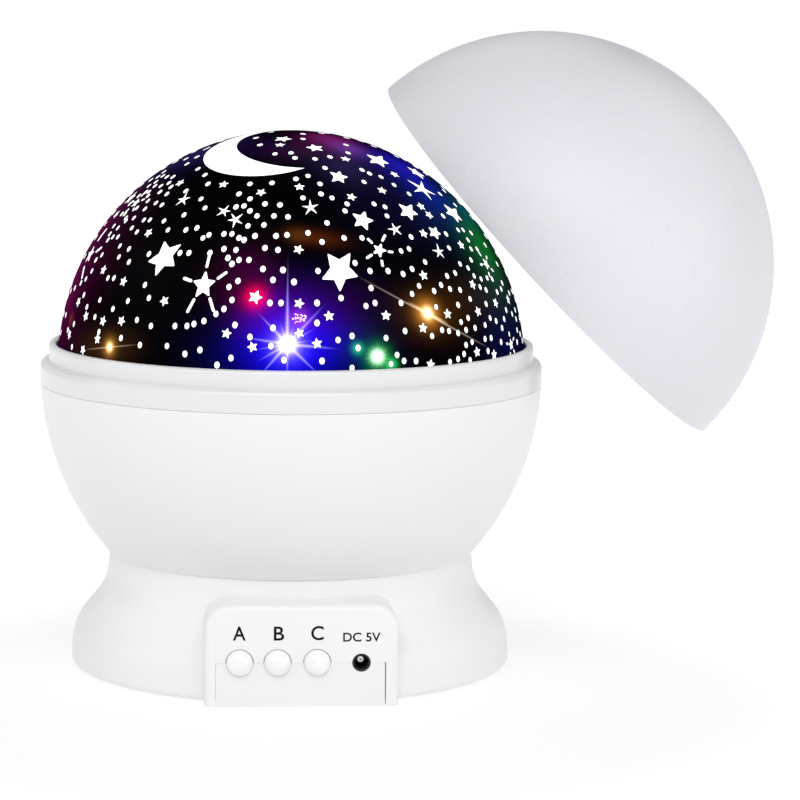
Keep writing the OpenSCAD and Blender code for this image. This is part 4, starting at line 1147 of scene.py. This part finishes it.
def legend(name, text, x0, x1, z0, z1, thin):
    cu = bpy.data.curves.new(name, "FONT")
    cu.body = text
    cu.size = 4.0
    cu.resolution_u = 6
    cu.extrude = 0.05
    cu.offset = thin
    tmp = bpy.data.objects.new(name + "_t", cu)
    scene.collection.objects.link(tmp)
    dg = bpy.context.evaluated_depsgraph_get()
    dg.update()
    me = bpy.data.meshes.new_from_object(tmp.evaluated_get(dg))
    bpy.data.objects.remove(tmp)
    xs, ys = [v.co.x for v in me.vertices], [v.co.y for v in me.vertices]
    for v in me.vertices:
        fx = (v.co.x - min(xs)) / (max(xs) - min(xs))
        fy = (v.co.y - min(ys)) / (max(ys) - min(ys))
        v.co = Vector((x0 + fx * (x1 - x0), -CONSOLE_Y - 0.03 if v.co.z > 0 else -CONSOLE_Y + 0.06, z0 + fy * (z1 - z0)))
    bm = bmesh.new()
    bm.from_mesh(me)
    bmesh.ops.remove_doubles(bm, verts=bm.verts, dist=1e-5)
    bmesh.ops.dissolve_degenerate(bm, dist=1e-5, edges=bm.edges)
    bmesh.ops.recalc_face_normals(bm, faces=bm.faces)
    bm.to_mesh(me)
    bm.free()
    me.transform(Matrix.Scale(S, 4))
    ob = bpy.data.objects.new(name, me)
    scene.collection.objects.link(ob)
    finished(ob, "base", ink, weighted=False)
    return ob


legend("legend_a", "A", -16.4, -13.3, 16.43, 19.93, 0.05)
legend("legend_b", "B", -6.5, -4.0, 16.38, 19.83, 0.05)
legend("legend_c", "C", 2.55, 5.6, 16.40, 19.92, 0.05)
legend("legend_dc", "DC 5V", 10.3, 19.4, 15.99, 18.24, 0.065)


# ------------------------------------------------------------------ outer cover, in its place on the CAD
cut = math.degrees(math.asin(COVER_CUT / COVER_R))
ri = COVER_R - COVER_T
ang_in = math.degrees(math.asin((4.0 + COVER_CUT) / ri))
cover_profile = (
    [(0.0, COVER_R - COVER_CUT)]
    + [(COVER_R * math.cos(math.radians(a)), COVER_R * math.sin(math.radians(a)) - COVER_CUT) for a in span(89.3, cut + 0.35, 130)]
    + rounded([(COVER_R * math.cos(math.radians(cut + 0.3)), 0.30), (COVER_R * math.cos(math.radians(cut)), 0.0, 0.22), (MOUTH_R, 0.0, 0.22), (MOUTH_R, 0.6)], 4)
    + [(MOUTH_R, 4.0)]
    + [(ri * math.cos(math.radians(a)), ri * math.sin(math.radians(a)) - COVER_CUT) for a in span(ang_in, 89.2, 90)]
    + [(0.0, ri - COVER_CUT)])
turn = Matrix.Rotation(math.radians(COVER_TURN[1]), 4, "Y") @ Matrix.Rotation(math.radians(COVER_TURN[0]), 4, "X")
cv, cf = lathe(cover_profile, 320)
cv = [tuple(COVER_AT + (turn @ Vector(p))) for p in cv]
finished(mesh_object("cover_shell", cv, cf), "cover", mats["cover_satin"], ["outer_cover"])


# ------------------------------------------------------------------ floor and light
def stage_floor():
    me = bpy.data.meshes.new("floor")
    me.from_pydata([(-14, -14, 0), (14, -14, 0), (14, 14, 0), (-14, 14, 0)], [], [(0, 1, 2, 3)])
    ob = bpy.data.objects.new("floor", me)
    scene.collection.objects.link(ob)
    g = Graph("floor_white_painted_shadow")
    g.link(g.ramp(g.noise(3.0), [(0.3, (0.295, 0.295, 0.295)), (0.7, (0.305, 0.305, 0.305))]), g.p.inputs["Base Color"])
    g.p.inputs["Roughness"].default_value = 1.0
    g.p.inputs["Specular IOR Level"].default_value = 0.0
    # emission dimmer near the lamp: a painted shadow on the floor round its foot, rising to full white far off
    far = g.span(g.vec("DISTANCE", g.coord, (0.0, -0.05, 0.0)), 0.0, 1.0, 0.10, 1.5)
    g.link(g.ramp(far, [(0.0, (0.70, 0.70, 0.707)), (0.033, (0.80, 0.80, 0.802)), (0.08, (0.88, 0.88, 0.88)), (0.5, (0.95, 0.95, 0.95)), (1.0, (1.0, 1.0, 1.0))]), g.p.inputs["Emission Color"])
    g.p.inputs["Emission Strength"].default_value = 1.0
    me.materials.append(g.mat)


stage_floor()

world = bpy.data.worlds.new("studio")
scene.world = world
world.use_nodes = True
world.node_tree.nodes["Background"].inputs[0].default_value = (1.0, 1.0, 1.0, 1.0)
world.node_tree.nodes["Background"].inputs[1].default_value = 0.04


AIM = Vector((0.03, 0.0, 0.085))


def panel(name, az, el, sx, sy, power, dist=1.5):
    """A soft box aimed at the lamp: az from the front towards +X, el above the level, in degrees."""
    a, e = math.radians(az), math.radians(el)
    p = AIM + Vector((math.sin(a) * math.cos(e), -math.cos(a) * math.cos(e), math.sin(e))) * dist
    li = bpy.data.lights.new(name, "AREA")
    li.shape = "RECTANGLE"
    li.size, li.size_y = sx, sy
    li.energy = power
    ob = bpy.data.objects.new(name, li)
    ob.location = p
    ob.rotation_euler = (AIM - p).to_track_quat("-Z", "Y").to_euler()
    ob.visible_camera = False
    scene.collection.objects.link(ob)


panel("front_low", 0, -2, 1.2, 0.25, 1.6, 1.6)
panel("right_front_30", 30, 12, 0.76, 0.6, 1.9)
panel("right_front_60", 60, 12, 0.76, 0.6, 2.8)
panel("right", 90, 12, 0.76, 0.6, 2.2)
panel("right_back", 138, 10, 0.76, 0.6, 1.4)
panel("left_front", -60, 12, 0.76, 0.6, 1.5)
panel("left", -90, 12, 0.76, 0.6, 2.9)
panel("left_back", -145, 12, 0.76, 0.6, 1.1)
panel("back_low", 180, 9, 1.1, 0.36, 1.0)
panel("front_top", 0, 42, 0.8, 0.7, 6.0)
panel("right_front_top", 30, 42, 0.8, 0.7, 3.4)
panel("left_front_top", -30, 42, 0.8, 0.7, 4.9)
panel("left_top", -60, 42, 0.8, 0.7, 1.8)
panel("right_back_top", 120, 42, 0.8, 0.7, 2.2)
panel("left_back_top", -120, 42, 0.8, 0.7, 2.6)
panel("back_top", 180, 42, 0.8, 0.7, 2.1)
panel("top", 0, 78, 0.8, 0.7, 1.4)

scene.view_settings.view_transform = "Standard"
scene.view_settings.look = "None"
